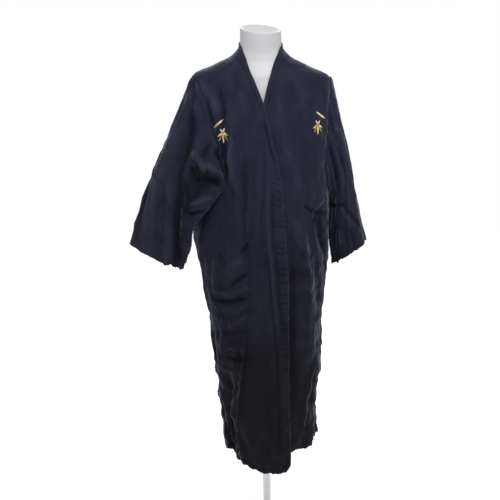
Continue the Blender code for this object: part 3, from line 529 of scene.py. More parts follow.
# Sewing and embroidery
STITCH_PITCH, STITCH_LENGTH, STITCH_RADIUS = 0.0042, 0.0029, 0.00032
STITCH_HIGH, STITCH_SUNK = 0.00012, 0.00030
THREAD, THREAD_SIDES, THREADS_APART = 0.00062, 5, 0.86
MOTIF_HIGH, MOTIF_SIZE = 0.0007, 1.3
BRANCH = ((0.0215, 0.0080), (-0.0030, 0.0250), 0.0050, 40)  # its ends, its width, its threads' slant
BLOSSOM_MIDDLE, BLOSSOM_HOLLOW = np.array((-0.001, -0.003)), 0.0016
PETALS = ((-34, 0.0155), (-60, 0.0215), (-92, 0.0235), (-122, 0.0215), (-148, 0.0155))  # degrees, length
SEPALS = ((52, 0.0105), (118, 0.0105))
PETAL_WIDTH, SEPAL_WIDTH, PETAL_SLANT = 0.0046, 0.0042, 14
KNOTS, KNOTS_RADIUS, KNOT_LENGTH = 6, 0.0011, (0.0007, 0.0004)
MOTIF_PLACE = {RIGHT: (47.0, 1.290, -7.0), LEFT: (64.0, 1.312, 0.0)}  # angle, level and spin

# The solids of one body panel, which its shell takes the place of in one piece
PANEL_LENGTHS = ("front_skirt", "front_hip", "front_chest", "back_shoulder", "back_hip", "back_skirt")

# What each piece was cut to: width and length, and its area where that isn't their product
PANEL_CUT, SLEEVE_CUT, BAND_CUT = ((0.265, 2.46), None), ((0.400, 0.50), None), ((0.050, 2.60), None)
GORE_CUT = {RIGHT: ((0.150, 1.10), 0.105), LEFT: ((0.120, 1.08), 0.080)}

# Colours
# The navy as painted light: a lit copy high up and a shaded copy low down, each with a deeper shade for its
# uneven yarns
NAVY_PAINTED_LIT, NAVY_PAINTED_LIT_DEEP = (0.0172, 0.0184, 0.0345, 1), (0.0138, 0.0148, 0.0280, 1)
NAVY_PAINTED_DIM, NAVY_PAINTED_DIM_DEEP = (0.0058, 0.0062, 0.0090, 1), (0.0045, 0.0048, 0.0070, 1)
PAINTED_LIGHT_FROM, PAINTED_LIGHT_TO = 0.55, 1.35  # painted light: the cloth is painted paler up towards the shoulders and darker down towards the hem
# Ridges are painted paler, partly as wear and partly as painted highlight; troughs are painted darker as
# painted shade
RIDGE_WEAR_AND_PAINTED_HIGHLIGHT, RIDGE_FROM = (1.60, 1.60, 1.50, 1), 0.10
TROUGH_PAINTED_SHADE, TROUGH_FROM = (0.32, 0.32, 0.35, 1), -0.10
NAVY_PATCH = (0.74, 0.74, 0.76, 1)
NAVY_WORN, WEAR_SHOWN = (0.022, 0.025, 0.038, 1), 0.55
NAVY_THREAD, NAVY_THREAD_DEEP = (0.010, 0.011, 0.022, 1), (0.006, 0.007, 0.014, 1)
SHEEN_TINT = (0.60, 0.65, 0.90, 1)
WEAVE_SCALE, WEAVE_BUMP, CRUMPLE_BUMP = 300.0, 0.00022, 0.012
LONG_SLUBS, CROSS_SLUBS = (900, 45, 1), (50, 850, 1)  # thick places in the yarns of either way
CLOTH_ROUGHNESS, THREAD_ROUGHNESS, GOLD_ROUGHNESS, GOLD_METALLIC = (0.66, 0.84), 0.7, 0.42, 0.35
FORM_ROUGHNESS, STEEL_ROUGHNESS, MATTE_ROUGHNESS = (0.42, 0.54), (0.26, 0.46), 0.9
GOLD_PALE, GOLD_MID, GOLD_BROWN = (0.92, 0.80, 0.50, 1), (0.46, 0.30, 0.12, 1), (0.14, 0.08, 0.03, 1)
FORM_WHITE, FORM_SHADE = (0.43, 0.43, 0.435, 1), (0.40, 0.40, 0.405, 1)
CAP_GREY, CAP_SHADE = (0.44, 0.44, 0.445, 1), (0.41, 0.41, 0.415, 1)
STEEL, STEEL_SHADE = (0.55, 0.56, 0.57, 1), (0.451, 0.4592, 0.4674, 1)
FLOOR_PALE, FLOOR_SHADE = (0.96, 0.96, 0.96, 1), (0.94, 0.94, 0.94, 1)

# Camera, light and floor
CAMERA_PLACE, CAMERA_LENS = (0.0, -3.6, 1.77), 88.85
CAMERA_TIP, CAMERA_TURN, CAMERA_ROLL = 13.3, 0.65, -0.95
SURROUND, SURROUND_STRENGTH = (0.97, 0.98, 1.0, 1), 0.58
SUN_STRENGTH, SUN_SPREAD, SUN_FROM = 1.75, 60, (0.55, -1.2, 2.8)
AREA_LIGHTS = (
    # name, size, power, place, what it points at
    ("softbox", 0.8, 13, (0.15, -1.45, 2.50), (0, 0, 1.35)),
    ("backlight", 1.6, 50, (0.0, 2.30, 2.70), (0, 0, 1.10)),
)
FLOOR_HALF, FLOOR_BELOW = 60.0, -0.0005


def ease(share):
    """Goes from 0 to 1 with no corner at either end."""
    share = np.clip(share, 0.0, 1.0)
    return share * share * (3 - 2 * share)


def hill(distance, width):
    """1 in the middle, and almost 0 at twice the width."""
    return np.exp(-((distance / width) ** 2))


def unit(vectors):
    return vectors / np.linalg.norm(vectors, axis=-1, keepdims=True)


def wrapped(angle):
    """The same angle, between minus and plus half a turn."""
    return (angle + math.pi) % (2 * math.pi) - math.pi


def runs(points, axis=0):
    """Distances along each line of points from its first one."""
    total = np.cumsum(np.linalg.norm(np.diff(points, axis=axis), axis=-1), axis=axis)
    return np.insert(total, 0, 0.0, axis=axis)


def along(places, values, at):
    """Reads a table's column at any place, on a smooth curve that never overshoots."""
    places, values = np.asarray(places, float), np.asarray(values, float)
    step = np.diff(places)
    rise = np.diff(values) / step
    same_way = rise[:-1] * rise[1:] > 0
    total = np.where(same_way, rise[:-1] + rise[1:], 1.0)
    slope = np.empty(len(places))
    slope[0], slope[-1] = rise[0], rise[-1]
    slope[1:-1] = np.where(same_way, 2 * rise[:-1] * rise[1:] / total, 0.0)
    at = np.clip(at, places[0], places[-1])
    i = np.clip(np.searchsorted(places, at) - 1, 0, len(step) - 1)
    u = (at - places[i]) / step[i]
    from_values = values[i] * (1 + 2 * u) * (1 - u) ** 2 + values[i + 1] * u * u * (3 - 2 * u)
    return from_values + step[i] * (slope[i] * u * (1 - u) ** 2 + slope[i + 1] * u * u * (u - 1))


def read(table, at):
    """All the other columns of a table, read where its first column is at."""
    first, *others = zip(*table)
    return [along(first, column, at) for column in others]


def between_rows(table, at):
    """All columns of a table, read at places counted in rows."""
    return np.stack([along(np.arange(len(table)), column, at) for column in zip(*table)], 1)


def finer(seam, times):
    """The same seam with more points between its own."""
    last = len(seam) - 1
    return between_rows(seam, np.linspace(0, last, last * times + 1))


def beside_line(across, down, row, scale):
    """Places seen from a row's line in a plane of lengths: share along it, how far aside, its length."""
    start = np.array((row[0] * scale[0], row[1] * scale[1]))
    way = np.array((row[2] * scale[0], row[3] * scale[1])) - start
    length = np.hypot(*way)
    way /= length
    dx, dy = across - start[0], down - start[1]
    return (dx * way[0] + dy * way[1]) / length, dx * way[1] - dy * way[0], length


def folds(angle, height):
    """How far the cloth stands out at its folds."""
    out = 0.0
    for row in FOLDS:
        top = math.radians(row[0])
        across = (top + wrapped(angle - top)) * FOLD_RADIUS
        share, aside, _ = beside_line(across, height, row, BODY_SCALE)
        ends = ease(share / FOLD_RISE) * ease((FOLD_END - share) / FOLD_FADE)
        out = out + row[4] * MM * ends * hill(aside, row[5] * MM)
    return out


def oval(angle, half, front, back, square):
    """How far a squarish oval's edge is from its middle. Its front and back differ in depth."""
    side, ahead = np.sin(angle), np.cos(angle)
    depth = np.where(ahead > 0, front, back)
    return (np.abs(side / half) ** square + np.abs(ahead / depth) ** square) ** (-1 / square)


def ring_radius(angle, height):
    """The surface's distance from its section's middle, and that middle."""
    middle, *form = read(SECTIONS, height)
    return oval(angle, *form) + folds(angle, height), middle


def lean(height):
    """How much lower each height lies for each metre towards the left."""
    return SHOULDER_LEAN * ease((height - LEAN_FROM) / LEAN_OVER)


def bare_surface(angle, height):
    radius, middle = ring_radius(angle, height)
    x = middle + radius * np.sin(angle)
    return np.stack([x, -radius * np.cos(angle), height - lean(height) * x], -1)


def outward(angle, height):
    """The surface's direction out, worked out from its slopes."""
    turn, rise = 0.002, 0.0005
    round_it = bare_surface(angle + turn, height) - bare_surface(angle - turn, height)
    up_it = bare_surface(angle, height + rise) - bare_surface(angle, height - rise)
    return unit(np.cross(round_it, up_it))


def hang(side, degrees, level):
    """The height at a level, which near the hem follows the uneven hem."""
    hem = read(HEM[side], degrees)[0]
    return level + (hem - HEM_LEVEL) * (1 - ease((level - HEM_LEVEL) / HEM_FADE))


def lift(side, degrees, level):
    """How far the overlapping right front lies outside the left one."""
    if side == LEFT:
        return 0.0
    in_front = ease((LIFT_SIDE - degrees) / LIFT_SIDE_FADE)
    return OVERLAP_LIFT * in_front * ease((LIFT_TOP - level) / LIFT_FADE)


def on_side(side, degrees, level, out):
    """A point of one half of the robe, by its own side's angle, its level, and how far out it lies."""
    angle, height, out = np.broadcast_arrays(
        side * np.radians(degrees), hang(side, degrees, level), out + lift(side, degrees, level)
    )
    return bare_surface(angle, height) + outward(angle, height) * out[..., None]


def tucked(points):
    """Moves the first and last point of each row a little past their seams."""
    points = points.copy()
    for end, inner in ((0, 1), (-1, -2)):
        points[:, end] += unit(points[:, inner] - points[:, end]) * SEAM_TUCK
    return points


def front_line(side, column):
    """The front's edge or one of its seams, from the hem to the top of the gores."""
    return np.stack([read(FRONT[side], FRONT_LEVELS)[column], FRONT_LEVELS], 1)


def neck_lines(side):
    """Edge and seam of the band along the neck."""
    lines = between_rows(NECK[side], NECK_STATIONS)
    return lines[:, :2], lines[:, 2:]


def back_seam():
    """The centre back seam, from the neck to the hem."""
    return np.stack([np.full(len(BACK_LEVELS), 180.0), BACK_LEVELS], 1)


def armhole(side):
    """The armhole seam's points, evenly spaced on the cloth, from the underarm round to it."""
    seam = neck_lines(side)[1]
    before_top = len(FRONT_LEVELS) + int(np.argmin(np.abs(seam[:, 0] - 90))) - SIDE_ROWS
    after_top = len(FRONT_LEVELS) + len(seam) + len(BACK_LEVELS) - 2 * SIDE_ROWS - before_top
    fine = np.linspace(0, len(ARMHOLE[side]) - 1, ARMHOLE_SAMPLES)
    angles, heights = between_rows(ARMHOLE[side], fine).T
    run = runs(on_side(side, angles, heights, 0.0))
    top = run[int(np.argmax(heights))]
    at = np.concatenate([np.linspace(0, top, before_top + 1), np.linspace(top, run[-1], after_top)[1:]])
    return np.stack([np.interp(at, run, angles), np.interp(at, run, heights)], 1)


def sleeve_turns(side, loop, points):
    """Each loop point's place round a hanging sleeve, 0 at its outer edge and half a turn at its fold."""
    fold_angle, fold_height = SLEEVE_FOLD[side]
    top = int(np.argmax(points[:, 2]))
    fold = int(np.argmin(np.hypot((loop[:, 0] - fold_angle) * METRES_PER_DEGREE, loop[:, 1] - fold_height)))
    turn = np.zeros(len(loop))
    for start, end, first, last in ((fold, top, math.pi, 0.0), (top, fold, 0.0, -math.pi)):
        index = np.arange(start, start + (end - start) % len(loop) + 1) % len(loop)
        run = runs(points[index])
        turn[index] = first + (last - first) * run / run[-1]
    return turn


def hanging_ring(side, share, turn):
    """A level of the hanging sleeve: an oval from its outer edge to its fold."""
    row = np.array(read(SLEEVE[side], share))
    outer, fold = row[0:3], row[3:6]
    layer = np.where(turn[:, None] > 0, (*row[6:8], 0.0), (*row[8:10], 0.0))
    full = np.abs(np.sin(turn)) ** LAYER_FULLNESS
    return (outer + fold) / 2 + np.outer(np.cos(turn), (outer - fold) / 2) + layer * full[:, None]


def noise(x, y, seed):
    """Smooth noise over a plane, from about -1 to 1, the same on each run."""
    x, y = np.broadcast_arrays(np.asarray(x, float), np.asarray(y, float))
    cell_x, cell_y = np.floor(x), np.floor(y)
    u, v = x - cell_x, y - cell_y
    su, sv = ease(u), ease(v)

    def slope(i, j):
        mixed = np.sin((cell_x + i) * HASH_X + (cell_y + j) * HASH_Y + seed * HASH_SEED) * HASH_SCALE
        turn = (mixed - np.floor(mixed)) * 2 * math.pi
        return np.cos(turn) * (u - i) + np.sin(turn) * (v - j)

    low = slope(0, 0) * (1 - su) + slope(1, 0) * su
    high = slope(0, 1) * (1 - su) + slope(1, 1) * su
    return (low * (1 - sv) + high * sv) * 1.5


def crumple(x, y, size, seed):
    """Small sharp-edged dents, as in cloth that was folded and let go."""
    bend = noise(x / size * 0.6, y / size * 0.6, seed + 1)
    return 0.5 - np.abs(noise(x / size + bend, y / size - bend, seed)) * 1.6


def crease(across, down, row, scale):
    """How far out one crease stands in a plane of lengths."""
    share, aside, length = beside_line(across, down, row, scale)
    depth, width, lean_to = row[4] * MM, row[5] * MM, row[6]
    aside = aside + CREASE_WAVER * noise(share * length / WAVER_LENGTH, 0.0, row[0] + row[1])
    ends = ease((share + 0.10) / CREASE_ENDS) * ease((1.10 - share) / CREASE_ENDS)
    return depth * ends * (1 + lean_to * np.tanh(aside / width * 2.5)) * hill(aside, width)


def painted_light_spots(table, x, y):
    """How dark the painted shade makes each place; minus makes it paler, as painted light."""
    dark = 0.0
    for middle_x, middle_y, half_x, half_y, strong in table:
        dark = dark + strong * hill(x - middle_x, half_x) * hill(y - middle_y, half_y)
    return dark


def body_detail(angle, height):
    """How far the body's cloth stands out from its surface: creases, dents and crumpling."""
    turn = wrapped(angle)
    across = turn * FOLD_RADIUS
    out = 0.0
    for row in CREASES:
        way = math.copysign(1, row[0])
        far = (abs(row[0]) > 90) & (turn * way < 0)  # a crease behind may cross the middle of the back
        out = out + crease(across + 2 * math.pi * FOLD_RADIUS * way * far, height, row, BODY_SCALE)
    beside = np.abs(np.degrees(turn))
    low = 1 - ease((height - LOW_AT) / LOW_OVER)
    side = ease((beside - SIDE_AT) / SIDE_OVER)
    chest = ease((height - CHEST_AT) / CHEST_OVER) * (1 - ease((beside - CHEST_SIDE) / CHEST_SIDE_OVER))
    waves = (
        # how strong here, depth, size across, size down, seed
        (1 - 0.5 * low - 0.4 * chest, 0.0034, 0.048, 0.340, 3),
        (low * side, 0.0050, 0.026, 0.100, 5),
        (side * ease((1.0 - height) / 0.15), 0.0036, 0.055, 0.034, 15),
        (0.3 + side, 0.0008, 0.014, 0.020, 13),
    )
    for strong, deep, wide, tall, seed in waves:
        out = out + deep * strong * noise(across / wide, height / tall, seed)
    dents = (
        # how strong here, depth, size, squeeze in height, seed
        (0.30 + 0.5 * side + 0.6 * low, 0.0028, 0.060, 1.0, 7),
        (1.0, 0.0030, 0.120, 0.8, 11),
    )
    for strong, deep, size, squeeze, seed in dents:
        out = out + deep * strong * (1 - 0.75 * chest) * crumple(across, height * squeeze, size, seed)
    return out * (SMOOTH_LEFT + (1 - SMOOTH_LEFT) * ease((SMOOTH_ABOVE - height) / SMOOTH_OVER))


def band_detail(side, degrees, height):
    """The pressed fold beside the front band's seam, and the dents that its stitches pull in."""
    if side == LEFT:
        return 0.0
    aside = (read(FRONT[side], height)[BAND_SEAM] - degrees) * BODY_SCALE[0]
    pressed = hill(aside - PRESSED_AT, PRESSED_WIDTH) - hill(aside - PRESSED_TROUGH_AT, PRESSED_WIDTH)
    pressed = pressed * ease((height - PRESSED_FROM) / PRESSED_FROM_FADE)
    out = PRESSED_RIDGE * pressed * ease((PRESSED_TO - height) / PRESSED_TO_FADE)
    inside = ease((-degrees - DENT_FROM) / DENT_FROM_FADE) * ease((DENT_TO + degrees) / DENT_TO_FADE)
    for i in range(DENTS):
        middle = DENT_TOP - DENT_STEP * i + DENT_WANDER * math.sin(i * 2.1)
        tilt = DENT_TILT * math.sin(i * 2.3) * (-degrees - 20)
        strong = 0.70 + 0.30 * math.sin(i * 1.7 + 0.5)
        out = out - DENT_DEPTH * strong * inside * hill(height - middle - tilt, DENT_WIDTH)
    return out


def ragged(side, plain, level):
    """How far the hem's uneven edge hangs below or above its line."""
    uneven = sum(part * noise(plain * often, place, seed + side) for part, often, place, seed in HEM_WAVES)
    return HEM_RAGGED * uneven * np.exp(-np.maximum(level - HEM_LEVEL, 0) / HEM_RAGGED_REACH)


def wall_at(thick, to_seam, to_hem):
    """The cloth's thickness: it dips into its seams, and is turned up at the hem with a sewn groove."""
    turned = HEM_TURN_THICK * ease((HEM_TURN + HEM_STEP / 2 - to_hem) / HEM_STEP)
    groove = HEM_GROOVE * hill(to_hem - HEM_TURN, HEM_GROOVE_WIDTH)
    return thick - SEAM_DIP * hill(to_seam, SEAM_DIP_WIDTH) + turned - groove


def cloth_patch(side, inner_seam, outer_seam, count, thick=SHELL_CLOTH, two_hems=False, band=False):
    """The nets of a piece between two seams: inside, outside, lengths on the cloth, wear, and painted shade
    and highlight from its relief.
    """
    share = np.linspace(0, 1, count + 1)
    degrees = inner_seam[:, :1] * (1 - share) + outer_seam[:, :1] * share
    level = inner_seam[:, 1:] * (1 - share) + outer_seam[:, 1:] * share
    plain = side * np.radians(degrees)
    height = hang(side, degrees, level)
    base = on_side(side, degrees, level, 0.0)
    across, down = runs(base, 1), runs(base, 0)
    level = level + ragged(side, plain, level)
    to_outer = across[:, -1:] - across
    to_seam = to_outer if band else np.minimum(across, to_outer)
    to_hem = np.minimum(down, down[-1:] - down) if two_hems else down
    detail = body_detail(plain, height)
    if band:
        detail = detail + band_detail(side, degrees, height)
    shown = 1.0 if band else ease((SEAM_DARK_TOP - height) / SEAM_DARK_FADE)
    dark = SEAM_DARK * shown * np.exp(-to_seam / SEAM_DARK_WIDTH)
    # Painted shade where the hollows lie
    dark = dark + painted_light_spots(BODY_PAINTED_SHADE, np.degrees(wrapped(plain)), height)
    # Painted shade in troughs, seams and hollows, and ridges paled partly as wear and partly as painted
    # highlight
    relief_wear_and_painted_light = np.clip(detail / RELIEF_FULL - dark, -1, 1)
    pucker = noise(height / PUCKER_SIZE, plain * 4, 17) * np.exp(-to_seam / PUCKER_REACH)
    curl = noise(plain * HEM_CURL_OFTEN, 0.5, 23 + side) * np.exp(-to_hem / HEM_CURL_REACH)
    detail = detail + PUCKER * pucker + HEM_CURL * curl
    wall = wall_at(thick, to_seam, to_hem)
    if band:
        rounded = 1 - np.clip(1 - across / FREE_EDGE, 0, 1) ** 2
        wall = (wall - SHELL_CLOTH / 2) * np.sqrt(np.maximum(rounded, FREE_EDGE_LEAST)) + SHELL_CLOTH / 2
    inner, outer = (tucked(on_side(side, degrees, level, SHELL_INSIDE + detail + out)) for out in (0.0, wall))
    edge = np.minimum(to_hem, across) if band else to_hem
    return inner, outer, np.stack([across, down], -1), np.exp(-edge / WORN_WIDTH), relief_wear_and_painted_light


def body_panel(side):
    side_levels = np.linspace(HEM_LEVEL, UNDERARM, SIDE_ROWS + 1)[:-1]
    side_seam = np.stack([np.full(SIDE_ROWS, 90.0), side_levels], 1)
    inner = np.concatenate([front_line(side, GORE_SEAM), neck_lines(side)[1], back_seam()])
    outer = np.concatenate([side_seam, armhole(side), side_seam[::-1]])
    seams = (finer(seam, PANEL_TIMES) for seam in (inner, outer))
    return cloth_patch(side, *seams, PANEL_COLUMNS, two_hems=True)


def gore(side):
    seams = (finer(front_line(side, column), GORE_TIMES) for column in (BAND_SEAM, GORE_SEAM))
    return cloth_patch(side, *seams, GORE_COLUMNS[side])


def band():
    """The band in one strip, from the right hem round the neck to the left hem."""
    halves = []
    for side in (RIGHT, LEFT):
        lines = zip((EDGE, BAND_SEAM), neck_lines(side))
        seams = (finer(np.concatenate([front_line(side, low), neck]), BAND_TIMES) for low, neck in lines)
        halves.append(cloth_patch(side, *seams, BAND_COLUMNS, SHELL_BAND, band=True))
    right, left = halves
    lengths = 2 * right[2][-1:] - left[2][::-1][1:]
    lengths[..., 0] = left[2][::-1][1:, :, 0]
    joined = [np.concatenate([a, b[::-1][1:]]) for a, b in zip(right, left)]
    joined[2] = np.concatenate([right[2], lengths])
    return joined


def clear_of_body(side, points, room):
    """Pushes a sleeve's points out until they have room over the body's cloth."""
    x, y, z = points[..., 0], points[..., 1], points[..., 2]
    height = z + lean(z) * x
    middle = read(SECTIONS, height)[0]
    angle = np.arctan2(x - middle, -y)
    radius = ring_radius(angle, height)[0]
    raised = lift(side, np.degrees(angle) * side, height)
    need = radius + (raised + SLEEVE_CLEARANCE) * room + body_detail(angle, height)
    grow = np.maximum(need / np.hypot(x - middle, y), 1.0)
    return np.stack([middle + (x - middle) * grow, y * grow, z], -1)


def sleeve_detail(side, share, degrees):
    """Creases, crumpling at the cuff, and soft waves of a sleeve, as lengths out."""
    down, across = share * SLEEVE_SCALE[1], degrees * SLEEVE_SCALE[0]
    out = 0.0
    for row in SLEEVE_CREASES[side]:
        turned = (row[1], row[0], row[3], row[2], *row[4:])
        out = out + crease(across, down, turned, SLEEVE_SCALE)
    wrap = np.radians(degrees)
    near_cuff = ease((share - NEAR_CUFF) / NEAR_CUFF_OVER)
    gather = near_cuff * hill(np.abs(degrees) - GATHER_AT, GATHER_WIDTH)
    waves = (
        # depth here, place across, place down, seed
        (0.0044, np.sin(wrap) * 2.6 + np.cos(wrap) * 2, share * 2 + np.cos(wrap) * 2.6, 31 + side),
        (CUFF_GATHER[side] * gather, across / 0.014, down / 0.05, 37 + side),
        (0.0010 * near_cuff, np.sin(wrap) * 14, np.cos(wrap) * 14, 41 + side),
        (0.0008, across / 0.012, down / 0.018, 47),
    )
    for deep, x, y, seed in waves:
        out = out + deep * noise(x, y, seed)
    out = out + 0.0030 * crumple(across, down, 0.075, 43 + side)
    return out * ease(share / SLEEVE_SMOOTH)


def cuff_raggedness(side, inner, share, turn):
    """Moves a cuff's edge unevenly up and down the sleeve, most near the fold under the arm."""
    near_fold = ease((np.abs(np.degrees(turn)) - NEAR_FOLD) / NEAR_FOLD_OVER)
    x, y = np.sin(turn), np.cos(turn)
    uneven = sum(part * noise(x * often, y * often, seed + side) for part, often, seed in CUFF_WAVES)
    reach = (CUFF_EVEN + (1 - CUFF_EVEN) * near_fold) * ease((share - CUFF_RAGGED_FROM) / CUFF_RAGGED_OVER)
    return unit(np.gradient(inner, axis=0)) * (CUFF_RAGGED * uneven * reach)[..., None]


def ring_normals(side, inner):
    round_it = np.roll(inner, -1, axis=1) - np.roll(inner, 1, axis=1)
    return unit(np.cross(np.gradient(inner, axis=0), round_it) * side)


def sleeve_root(side):
    """A sleeve's first two rings, the way out there, each point's turn, and how far it turns back."""
    loop = finer(armhole(side), SLEEVE_TIMES)[:-1]
    degrees, level = loop.T
    seam_detail = body_detail(side * np.radians(degrees), hang(side, degrees, level))
    seat = on_side(side, degrees, level, seam_detail)
    normal = (on_side(side, degrees, level, seam_detail + CLOTH) - seat) / CLOTH
    turn = sleeve_turns(side, loop, seat)
    inward = seat.mean(axis=0) - seat
    inward = unit(inward - normal * np.sum(inward * normal, axis=-1, keepdims=True))
    over = -np.sum(unit(hanging_ring(side, OVER_EDGE_AT, turn) - seat) * inward, axis=-1)
    turned = ease((over - OVER_EDGE_FROM) / OVER_EDGE_RANGE)
    rise = SEAM_RISE[0] + (SEAM_RISE[1] - SEAM_RISE[0]) * turned
    first = seat + normal * SHELL_INSIDE + inward * SEAM_TUCK
    start = seat + normal * rise[:, None] + inward * SEAM_TURN
    return first, start, normal, turn, turned


def sleeve(side):
    """The nets of one sleeve, from the armhole to the cuff."""
    first, start, normal, turn, turned = sleeve_root(side)
    shares = np.concatenate([[0.0], np.linspace(0, 1, SLEEVE_RINGS)])[:, None]
    rings = [first, start]
    for share in shares[2:, 0]:
        left = ease(share / SLEEVE_SETTLE)
        rings.append(start * (1 - left) + hanging_ring(side, share, turn) * left)
    inner = np.array(rings)
    room = np.maximum(turned, ease(shares / SLEEVE_CLEAR_FROM))
    inner[2:] = clear_of_body(side, inner[2:], room[2:])
    detail = sleeve_detail(side, shares, np.degrees(turn))
    inner = inner + ring_normals(side, inner) * detail[..., None]
    inner[2:] = clear_of_body(side, inner[2:], room[2:])
    inner = inner + cuff_raggedness(side, inner, shares, turn)
    down = runs(inner)
    around = runs(closed_rows(inner), 1)
    to_cuff = down[-1:] - down
    outer = inner + ring_normals(side, inner) * wall_at(SHELL_CLOTH, down, to_cuff)[..., None]
    outer[0] = first + normal * (SHELL_CLOTH - SEAM_DIP)
    lengths = np.stack([around, closed_rows(down)], -1)
    dark = SEAM_DARK * np.exp(-down / SEAM_DARK_WIDTH)
    # Painted shade in the sleeve's hollows, and painted light where it is minus
    dark = dark + painted_light_spots(SLEEVE_PAINTED_SHADE_AND_LIGHT[side], shares, np.degrees(turn))
    # Painted shade in troughs, seams and hollows, and ridges paled partly as wear and partly as painted
    # highlight
    relief_wear_and_painted_light = np.clip(detail / RELIEF_FULL - dark, -1, 1)
    return inner, outer, lengths, np.exp(-to_cuff / WORN_WIDTH), relief_wear_and_painted_light


def grid_faces(index):
    return np.stack([index[:-1, :-1], index[:-1, 1:], index[1:, 1:], index[1:, :-1]], -1).reshape(-1, 4)


def closed_rows(grid):
    """The same grid with its first column again at its end."""
    return np.concatenate([grid, grid[:, :1]], 1)


def mesh_object(name, points, faces, *materials):
    data = bpy.data.meshes.new(name)
    data.from_pydata(points.tolist(), [], faces)
    data.update()
    data.shade_smooth()
    for material in materials:
        data.materials.append(material)
    made = bpy.data.objects.new(name, data)
    bpy.context.scene.collection.objects.link(made)
    return made


def signed_volume(points, faces):
    a, b, c, d = (points[faces[:, i]] for i in range(4))
    return np.sum(np.cross(a, b) * c) + np.sum(np.cross(a, c) * d)


def shell(name, nets, material, tube=False):
    """A thin closed cloth wall between two nets, with lengths on the cloth as its UV map."""
    inner, outer, lengths, wear, relief_wear_and_painted_light = nets
    rows, cols = inner.shape[:2]
    top = rows * cols
    index = np.arange(top).reshape(rows, cols)
    if tube:
        index = closed_rows(index)
    corner = np.arange(lengths[..., 0].size).reshape(lengths.shape[:2])
    pairs = [(grid_faces(index)[:, ::-1], grid_faces(corner)[:, ::-1])]
    pairs.append((grid_faces(index) + top, grid_faces(corner)))
    rims = [(index[0], corner[0]), (index[-1][::-1], corner[-1][::-1])]
    if not tube:
        rims += [(index[::-1, 0], corner[::-1, 0]), (index[:, -1], corner[:, -1])]
    for edge, uv_edge in rims:
        pairs.append([grid_faces(np.stack(sides)) for sides in ((edge, edge + top), (uv_edge, uv_edge))])
    faces = np.concatenate([face for face, _ in pairs])
    uv = lengths.reshape(-1, 2)[np.concatenate([corners for _, corners in pairs])]
    points = np.concatenate([inner.reshape(-1, 3), outer.reshape(-1, 3)])
    if signed_volume(points, faces) < 0:
        faces, uv = faces[:, ::-1], uv[:, ::-1]
    made = mesh_object(name, points, faces.tolist(), material)
    made.data.uv_layers.new(name="cloth").uv.foreach_set("vector", uv.reshape(-1))
    # the relief attribute carries the painted shade and highlight to the material
    for key, value in (("wear", wear), ("relief_wear_and_painted_light", relief_wear_and_painted_light)):
        kept = made.data.attributes.new(key, "FLOAT", "POINT")
        kept.data.foreach_set("value", np.tile(value.reshape(-1), 2))
    return made


def threads(name, lines, radius, material):
    """Many short threads as one mesh. Each line is its points and which way is up off the cloth."""
    points, faces = [], []
    around = np.linspace(0, 2 * math.pi, THREAD_SIDES, endpoint=False)[:, None]
    for line, up in lines:
        way = unit(np.gradient(line, axis=0))
        across = unit(np.cross(way, up))
        over = np.cross(across, way)
        count = len(line)
        swell = np.sqrt(np.clip(np.sin(math.pi * (np.arange(count) + 0.35) / (count - 0.3)), 0, 1))
        ring = across[:, None] * np.cos(around) + over[:, None] * np.sin(around)
        first = len(points) * THREAD_SIDES
        points += list(line[:, None] + ring * (radius * swell)[:, None, None])
        index = closed_rows(first + np.arange(count * THREAD_SIDES).reshape(count, THREAD_SIDES))
        faces += grid_faces(index).tolist()
        faces += [index[0, :-1][::-1].tolist(), index[-1, :-1].tolist()]
    return mesh_object(name, np.concatenate(points), faces, material)


def stitches(path, up):
    """Lines for a row of stitches along a path on the cloth."""
    run = runs(path)
    bow = np.array((-STITCH_SUNK, STITCH_HIGH, STITCH_HIGH, -STITCH_SUNK))[:, None]
    lines = []
    for start in np.arange(STITCH_PITCH, run[-1] - STITCH_PITCH, STITCH_PITCH):
        at = np.linspace(start, start + STITCH_LENGTH, 4)
        line, raised = (np.stack([np.interp(at, run, part) for part in net.T], 1) for net in (path, up))
        lines.append((line + unit(raised) * bow, unit(raised)))
    return lines


def sewing(name, nets, rows, thread):
    """A row of stitches on the outside along each of a net's rows."""
    inner, outer = nets[:2]
    up = unit(outer - inner)
    lines = [line for row in rows for line in stitches(outer[row], up[row])]
    return threads(name, lines, STITCH_RADIUS, thread)


def leaf(start, end, width, lay):
    """Threads across a leaf or petal: their ends, as pairs of places in the motif's own plane."""
    start, end = np.array(start) * MOTIF_SIZE, np.array(end) * MOTIF_SIZE
    way = end - start
    length = np.hypot(*way)
    way /= length
    lying = np.array((-way[1], way[0])) + way * math.tan(math.radians(lay))
    pairs = []
    for at in np.arange(THREAD * 0.6, length, THREAD * THREADS_APART):
        half = MOTIF_SIZE * width / 2 * math.sin(math.pi * (at / length) ** 0.8) ** 0.7
        pairs.append((start + way * at - lying * half, start + way * at + lying * half))
    return pairs


def fan_leaf(degrees, length, width):
    """A narrow petal that points away from the blossom's middle."""
    way = np.array((math.cos(math.radians(degrees)), math.sin(math.radians(degrees))))
    return leaf(BLOSSOM_MIDDLE + way * BLOSSOM_HOLLOW, BLOSSOM_MIDDLE + way * length, width, PETAL_SLANT)


def knot(turn):
    """A small round knot in the blossom's middle."""
    place = (BLOSSOM_MIDDLE + KNOTS_RADIUS * np.array((math.cos(turn), math.sin(turn)))) * MOTIF_SIZE
    return place, place + KNOT_LENGTH


